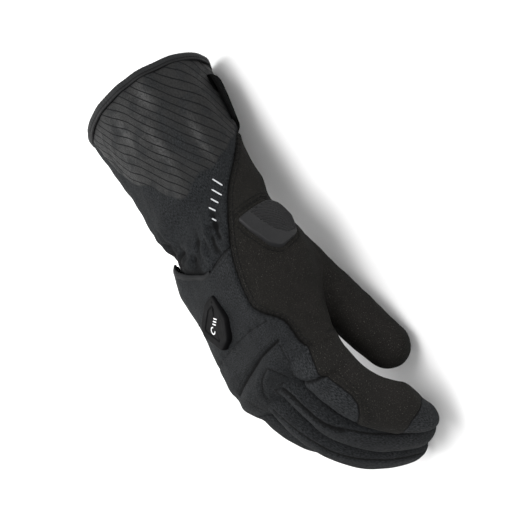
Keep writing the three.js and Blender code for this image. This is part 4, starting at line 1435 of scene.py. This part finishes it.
fibre_group, taken, given = new_group("fibre specks", {"Place": "place", "Share": "value"},
                                      {"Specks": "value", "Nap": "value"})
dots = noise(fibre_group, taken["Place"], 1.3, 2.0, Roughness=0.8)
top = math(fibre_group, "ADD", taken["Share"], 0.10)
specks = add(fibre_group, "ShaderNodeMapRange", {0: dots, 1: taken["Share"], 2: top}).outputs[0]
fibre_group.links.new(specks, given["Specks"])
fibre_group.links.new(noise(fibre_group, taken["Place"], 2.6, 5.0, Roughness=0.75), given["Nap"])

brush_group, taken, given = new_group("brushed patches", {"Place": "place"}, {"Light": "value"})
strokes = noise(brush_group, taken["Place"], 0.055, 4.0, Distortion=0.6)
brush_group.links.new(ramp(brush_group, strokes, 0.35, 0.7), given["Light"])
print("groups:", [g.name for g in bpy.data.node_groups])

# %% [markdown]
# ### Whole cloths
# Synthetic suede is dull and brown-black with a fine nap and light specks, and it is brushed lighter here
# and there. The softshell is blue-grey mixed yarn. Tape is a tight weave between two tones. Moulded and
# painted things drift a little in tone. Several finishes use each of them, so each is a group as well, and
# so is the dark in the depth of a seam.

# %% Build the cloths
suede_group, taken, given = new_group("suede", {"Place": "place"}, {"Colour": "colour", "Height": "value"})
fibres = use_group(suede_group, fibre_group, {"Place": taken["Place"], "Share": 0.62})
brushed = use_group(suede_group, brush_group, {"Place": taken["Place"]})
base = mix_colour(suede_group, brushed["Light"], tone(11, 11, 10), tone(18, 17, 16))
nap_share = times(suede_group, ramp(suede_group, fibres["Nap"], 0.36, 0.64), 0.75)
softened = mix_colour(suede_group, nap_share, base, tone(34, 33, 31))
specked = mix_colour(suede_group, times(suede_group, fibres["Specks"], 0.75), softened, tone(96, 94, 88))
suede_group.links.new(specked, given["Colour"])
suede_group.links.new(fibres["Nap"], given["Height"])

shell_group, taken, given = new_group("softshell", {"Place": "place", "Dark": "colour", "Light": "colour"},
                                      {"Colour": "colour", "Height": "value"})
yarn = use_group(shell_group, yarn_group, {"Place": taken["Place"], "Along": 0.45, "Fineness": 1.45})
base = mix_colour(shell_group, yarn["Tone"], taken["Dark"], taken["Light"])
cloudy = mix_colour(shell_group, times(shell_group, yarn["Patches"], 0.35), base, tone(17, 18, 19))
weave = use_group(shell_group, weave_group, {"Place": taken["Place"], "Pitch mm": 1.1, "Slant": 0.6})
between_threads = times(shell_group, one_minus(shell_group, weave["Height"]), 0.30)
shell_group.links.new(mix_colour(shell_group, between_threads, cloudy, tone(10, 11, 13)), given["Colour"])
shell_group.links.new(math(shell_group, "MULTIPLY_ADD", yarn["Tone"], 0.6, weave["Height"]), given["Height"])

tape_group, taken, given = new_group(
    "tape weave",
    {"Place": "place", "Pitch mm": "value", "Slant": "value", "Dark": "colour", "Light": "colour"},
    {"Colour": "colour", "Height": "value"})
weave = use_group(tape_group, weave_group, {key: taken[key] for key in ("Place", "Pitch mm", "Slant")})
tape_group.links.new(mix_colour(tape_group, weave["Height"], taken["Dark"], taken["Light"]), given["Colour"])
tape_group.links.new(weave["Height"], given["Height"])

drift_group, taken, given = new_group(
    "drifting tone", {"Place": "place", "Scale": "value", "Dark": "colour", "Light": "colour"},
    {"Colour": "colour", "Drift": "value"})
drift = noise(drift_group, taken["Place"], taken["Scale"], 3.0)
drift_group.links.new(mix_colour(drift_group, drift, taken["Dark"], taken["Light"]), given["Colour"])
drift_group.links.new(drift, given["Drift"])

seam_group, taken, given = new_group("seam shade", {"Colour": "colour", "Distance mm": "value"},
                                     {"Colour": "colour"})
near = one_minus(seam_group, ramp(seam_group, taken["Distance mm"], 0.25, 1.25))
shaded = mix_colour(seam_group, times(seam_group, near, 0.85), taken["Colour"], tone(6, 6, 6))
seam_group.links.new(shaded, given["Colour"])
print("groups:", len(bpy.data.node_groups))

# %% [markdown]
# ### Suede and softshell
# A finish starts from its gloss, which is the same all over and so stands on the shader itself. Colour and
# height come from the cloth's group, and shade painted near the nearest seam darkens the colour.

# %% Finish suede and softshell
def new_material(name, roughness, specular):
    material = bpy.data.materials.new(name)
    material.use_nodes = True
    tree = material.node_tree
    shader = tree.nodes["Principled BSDF"]
    shader.inputs["Roughness"].default_value = roughness
    shader.inputs["Specular IOR Level"].default_value = specular
    return material, tree, shader


def attribute(tree, name, output="Fac"):
    return add(tree, "ShaderNodeAttribute", attribute_name=name).outputs[output]


def raise_surface(tree, shader, height, distance, strength):
    made = add(tree, "ShaderNodeBump", {"Height": height, "Distance": distance * MM, "Strength": strength})
    tree.links.new(made.outputs[0], shader.inputs["Normal"])


def colour_with_seams(tree, shader, colour):
    """Puts a colour on the shader, with shade painted dark in the depth of seams and folds."""
    shaded = use_group(tree, seam_group, {"Colour": colour, "Distance mm": attribute(tree, "seam_mm")})
    tree.links.new(shaded["Colour"], shader.inputs["Base Color"])


suede, tree, shader = new_material("suede", 0.95, 0.07)
cloth = use_group(tree, suede_group, {"Place": attribute(tree, "cloth_mm", "Vector")})
colour_with_seams(tree, shader, cloth["Colour"])
raise_surface(tree, shader, cloth["Height"], 0.5, 0.8)

softshell, tree, shader = new_material("softshell", 0.85, 0.12)
cloth = use_group(tree, shell_group, {"Place": attribute(tree, "cloth_mm", "Vector"), "Dark": tone(6, 7, 8),
                                      "Light": tone(48, 50, 52)})
colour_with_seams(tree, shader, cloth["Colour"])
raise_surface(tree, shader, cloth["Height"], 0.4, 0.8)
print("finished:", suede.name, softshell.name)

# %% [markdown]
# The index finger carries both cloths. The kept distance to the suede's edge parts them, and a dark line
# along it is painted shade where the suede's turned edge steps over the cloth.

# %% Finish the index finger
two_cloths, tree, shader = new_material("index_suede_and_softshell", 0.9, 0.09)
place = attribute(tree, "cloth_mm", "Vector")
edge = attribute(tree, "cloth_edge")
suede_side = use_group(tree, suede_group, {"Place": place})
cloth_side = use_group(tree, shell_group, {"Place": place, "Dark": tone(12, 13, 14),
                                           "Light": tone(57, 59, 61)})
is_cloth = ramp(tree, edge, -0.12, 0.12)
colour = mix_colour(tree, is_cloth, suede_side["Colour"], cloth_side["Colour"])
# painted shade: a thin dark line along the suede's edge, where it stands over the cloth
edge_shade = one_minus(tree, ramp(tree, math(tree, "ABSOLUTE", edge), 0.15, 0.8))
colour_with_seams(tree, shader, mix_colour(tree, times(tree, edge_shade, 0.85), colour, tone(5, 5, 5)))
mixed = add(tree, "ShaderNodeMix", {0: is_cloth, 2: suede_side["Height"], 3: cloth_side["Height"]},
            data_type="FLOAT")
raise_surface(tree, shader, mixed.outputs[0], 0.45, 0.8)
print("finished:", two_cloths.name)

# %% [markdown]
# On the cuff the film is smoother and a little lighter than the cloth. It is left out along narrow dark
# lines, past the edge of the print and where it is rubbed, and highlights are painted where the mesh says so.

# %% Finish the printed cuff
printed, tree, shader = new_material("printed_softshell", 0.8, 0.08)
place = attribute(tree, "cloth_mm", "Vector")
cloth = use_group(tree, shell_group, {"Place": place, "Dark": tone(4, 5, 6), "Light": tone(45, 47, 49)})
worn = use_group(tree, yarn_group, {"Place": place, "Along": 1.0, "Fineness": 0.7})
in_line = math(tree, "SUBTRACT", math(tree, "FRACT", attribute(tree, "print_phase")), 0.5)
beside_line = ramp(tree, math(tree, "ABSOLUTE", in_line), 0.045, 0.090)
covered = ramp(tree, attribute(tree, "print_cover"), -1.0, 1.5)
patchy = math(tree, "MULTIPLY_ADD", ramp(tree, worn["Patches"], 0.0, 0.6), 0.5, 0.5)
left_over = one_minus(tree, times(tree, attribute(tree, "print_rub"), 0.85))
film = times(tree, times(tree, times(tree, beside_line, covered), patchy), left_over)
film_colour = mix_colour(tree, worn["Tone"], tone(26, 26, 26), tone(36, 36, 36))
# painted highlight: the film's colour is lightened towards light grey where the mesh marks a glint
glint_share = times(tree, attribute(tree, "print_painted_glint"), ramp(tree, worn["Tone"], -0.6, 0.9))
film_colour = mix_colour(tree, times(tree, glint_share, 0.75), film_colour, tone(66, 66, 66))
colour = mix_colour(tree, film, cloth["Colour"], film_colour)
line_tone = times(tree, one_minus(tree, beside_line), times(tree, covered, 0.75))
colour_with_seams(tree, shader, mix_colour(tree, line_tone, colour, tone(9, 9, 10)))
rough = add(tree, "ShaderNodeMapRange", {0: film, 1: 0.0, 2: 1.0, 3: 0.85, 4: 0.52})
tree.links.new(rough.outputs[0], shader.inputs["Roughness"])
raise_surface(tree, shader, math(tree, "MULTIPLY_ADD", film, 0.8, cloth["Height"]), 0.25, 0.6)
print("finished:", printed.name)

# %% [markdown]
# ### Tape, webbing and lining
# Binding tape is a tight dull weave, and webbing is coarser and darker. The lining, seen in the mouth of the
# cuff, is brushed knit.

# %% Finish tapes and lining
def woven(name, pitch, slant, dark, light, roughness, specular, seamed=False):
    material, tree, shader = new_material(name, roughness, specular)
    weave = use_group(tree, tape_group, {"Place": attribute(tree, "cloth_mm", "Vector"), "Pitch mm": pitch,
                                         "Slant": slant, "Dark": tone(*dark), "Light": tone(*light)})
    if seamed:
        colour_with_seams(tree, shader, weave["Colour"])
    else:
        tree.links.new(weave["Colour"], shader.inputs["Base Color"])
    raise_surface(tree, shader, weave["Height"], 0.25, 0.7)
    return material


binding_tape = woven("binding_tape", 0.7, 0.0, (9, 9, 10), (30, 31, 32), 0.65, 0.1)
rim_tape = woven("rim_tape", 0.7, 0.0, (11, 11, 12), (34, 35, 36), 0.6, 0.12, seamed=True)
webbing = woven("webbing", 1.4, 1.0, (2, 2, 2), (9, 9, 9), 0.85, 0.03)

lining, tree, shader = new_material("lining", 0.95, 0.08)
fibres = use_group(tree, fibre_group, {"Place": attribute(tree, "cloth_mm", "Vector"), "Share": 0.75})
tree.links.new(mix_colour(tree, fibres["Nap"], tone(8, 8, 9), tone(24, 24, 25)), shader.inputs["Base Color"])
raise_surface(tree, shader, fibres["Nap"], 0.5, 0.8)
print("finished:", binding_tape.name, rim_tape.name, webbing.name, lining.name)

# %% [markdown]
# ### Rubber, thread and paint
# The switch and the patch are moulded rubber with a fine grain, the patch a little greyer and darker
# between its ridges. Thread, marks and dashes are smooth and only drift in tone.

# %% Finish rubber, thread and paint
def drifting(name, dark, light, scale, roughness, specular, grain_scale=0.0):
    """A smooth finish whose tone drifts a little, with a fine grain where it is moulded."""
    material, tree, shader = new_material(name, roughness, specular)
    place = add(tree, "ShaderNodeTexCoord").outputs["Object"]
    drift = use_group(tree, drift_group, {"Place": place, "Scale": scale, "Dark": tone(*dark),
                                          "Light": tone(*light)})
    tree.links.new(drift["Colour"], shader.inputs["Base Color"])
    if grain_scale:
        rough = add(tree, "ShaderNodeMapRange", {0: drift["Drift"], 1: 0.3, 2: 0.7, 3: roughness - 0.07,
                                                 4: roughness + 0.07})
        tree.links.new(rough.outputs[0], shader.inputs["Roughness"])
        raise_surface(tree, shader, noise(tree, place, grain_scale, 3.0), 0.03, 0.5)
    return material, tree, shader, drift["Colour"]


thread = drifting("thread", (4, 4, 4), (12, 12, 12), 900.0, 0.7, 0.1)[0]
switch_rubber = drifting("switch_rubber", (4, 4, 5), (9, 9, 10), 90.0, 0.6, 0.035, 2600.0)[0]
mark_paint = drifting("mark_paint", (190, 191, 192), (222, 223, 224), 700.0, 0.5, 0.4)[0]
dash_film = drifting("dash_film", (150, 152, 154), (190, 192, 194), 500.0, 0.4, 0.4)[0]
patch_rubber, tree, shader, colour = drifting("patch_rubber", (22, 22, 23), (32, 32, 33), 70.0, 0.5, 0.16,
                                              1800.0)
on_ridges = times(tree, attribute(tree, "ridge_field"), 0.45)
tree.links.new(mix_colour(tree, on_ridges, colour, tone(14, 14, 15)), shader.inputs["Base Color"])
print("materials:", len(bpy.data.materials))

# %% [markdown]
# ## Dressing the part
# Each piece gets its finish outside and the lining inside where it has one, it is attached to the root, and
# the plain solids that it stands for are hidden.

# %% Dress the pieces
dressing = [
    (palm, suede, lining, "suede", ["palm"]),
    (back, softshell, lining, "textile", ["hand_back"]),
    (cuff, printed, lining, "cuff_cloth", ["gauntlet"]),
    (finger_pieces["thumb"], suede, lining, "suede", ["thumb"]),
    (finger_pieces["index_finger"], two_cloths, lining, "suede", ["index_finger"]),
    (finger_pieces["middle_finger"], softshell, lining, "textile", ["middle_finger"]),
    (finger_pieces["ring_finger"], softshell, lining, "textile", ["ring_finger"]),
    (finger_pieces["little_finger"], softshell, lining, "textile", ["little_finger"]),
    (binding, rim_tape, rim_tape, "binding", ["cuff_binding"]),
    (piping, binding_tape, None, "binding", ["wrist_piping"]),
    (tab, webbing, None, "webbing", ["cuff_tab"]),
    (button, switch_rubber, None, "switch_rubber", ["heat_button"]),
    (marks, mark_paint, None, "switch_rubber", []),
    (patch, patch_rubber, None, "patch_rubber", ["wrist_patch"]),
    (suede_stitches, thread, None, "suede", []),
    (back_stitches, thread, None, "textile", []),
    (rim_stitches, thread, None, "binding", []),
    (dashes, dash_film, None, "cuff_cloth", []),
    (finger_stitches, thread, None, "textile", []),
]
total_triangles = 0
for piece, outer, inner, slot, stands_for in dressing:
    piece.data.materials.append(outer)
    if inner:
        piece.data.materials.append(inner)
    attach(piece, "root")
    if stands_for:
        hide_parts(*stands_for)
    triangles = sum(len(face.vertices) - 2 for face in piece.data.polygons)
    total_triangles += triangles
    print(piece.name, triangles, "triangles")
print("in all", total_triangles, "triangles")

# %% [markdown]
# ## Floor, light and camera
# The glove lies palm down on a pale floor under soft, wide lights. The camera looks from the thumb side and
# above, rolled so that the arm runs from the upper left to the lower right.

# %% Floor and light
floor_mesh = bpy.data.meshes.new("floor")
floor_mesh.from_pydata([(-6, -6, 0), (6, -6, 0), (6, 6, 0), (-6, 6, 0)], [], [(0, 1, 2, 3)])
floor = bpy.data.objects.new("floor", floor_mesh)
bpy.context.scene.collection.objects.link(floor)
floor_paint, tree, shader = new_material("floor_paint", 0.9, 0.1)
shader.inputs["Base Color"].default_value = (0.86, 0.86, 0.86, 1)
floor_mesh.materials.append(floor_paint)

world = bpy.data.worlds.new("room")
bpy.context.scene.world = world
world.use_nodes = True
world.node_tree.nodes["Background"].inputs[0].default_value = (1, 1, 1, 1)
world.node_tree.nodes["Background"].inputs[1].default_value = 0.9


def soft_light(name, place, aim, size, power):
    lamp = bpy.data.lights.new(name, "AREA")
    lamp.size = size
    lamp.energy = power
    made = bpy.data.objects.new(name, lamp)
    bpy.context.scene.collection.objects.link(made)
    made.location = place
    made.rotation_euler = (Vector(aim) - Vector(place)).to_track_quat("-Z", "Y").to_euler()


soft_light("key", (0.5, 0.3, 1.3), (0, 0, 0.05), 0.8, 16)
soft_light("back_edge", (-0.9, 0.5, 0.8), (0, 0, 0.05), 0.7, 9)
soft_light("thumb_side", (1.2, -0.5, 0.5), (0, 0, 0.05), 0.8, 5)
print("lamps:", [lamp.name for lamp in bpy.data.lights])

# %% [markdown]
# The camera is set up in the arm's own directions, by a turn, a rise and a roll, and then tilted with the
# glove as it rests. Its distance and lens give one scale at the wrist, in millimetres for a picture point.

# %% Camera at the photographed angle
TURN, RISE, ROLL = radians(57), radians(20), radians(116.5)
MM_PER_PIXEL, DISTANCE, PICTURE, SENSOR = 0.65, 1400.0, 524, 36
WRIST_PIXEL, MIDDLE_PIXEL = (221, 246), (262, 262)
towards = np.array([sin(TURN) * cos(RISE), -sin(RISE), cos(TURN) * cos(RISE)])
arm = np.array([0, 1, 0]) - towards * towards[1]
arm /= np.linalg.norm(arm)
other = np.cross(arm, towards)
right = other * sin(ROLL) + arm * cos(ROLL)
up = -other * cos(ROLL) + arm * sin(ROLL)
aim = (right * (MIDDLE_PIXEL[0] - WRIST_PIXEL[0]) + up * (WRIST_PIXEL[1] - MIDDLE_PIXEL[1])) * MM_PER_PIXEL


def turned(vector):
    """A direction along the arm as a direction in the frame."""
    return np.array([vector[0], vector[1] * cos(REST_TILT) + vector[2] * sin(REST_TILT),
                     -vector[1] * sin(REST_TILT) + vector[2] * cos(REST_TILT)])


eye = (turned(aim + towards * DISTANCE) + WRIST_PLACE) * MM
camera_data = bpy.data.cameras.new("camera")
camera_data.sensor_width = SENSOR
camera_data.lens = SENSOR * DISTANCE / (PICTURE * MM_PER_PIXEL)
camera = bpy.data.objects.new("camera", camera_data)
bpy.context.scene.collection.objects.link(camera)
placing = np.column_stack([turned(right), turned(up), turned(towards), eye])
camera.matrix_world = Matrix([*placing.tolist(), [0, 0, 0, 1]])
bpy.context.scene.camera = camera
bpy.context.scene.view_settings.view_transform = "Standard"
print("camera at", np.round(eye, 3), "lens", round(camera_data.lens, 1))
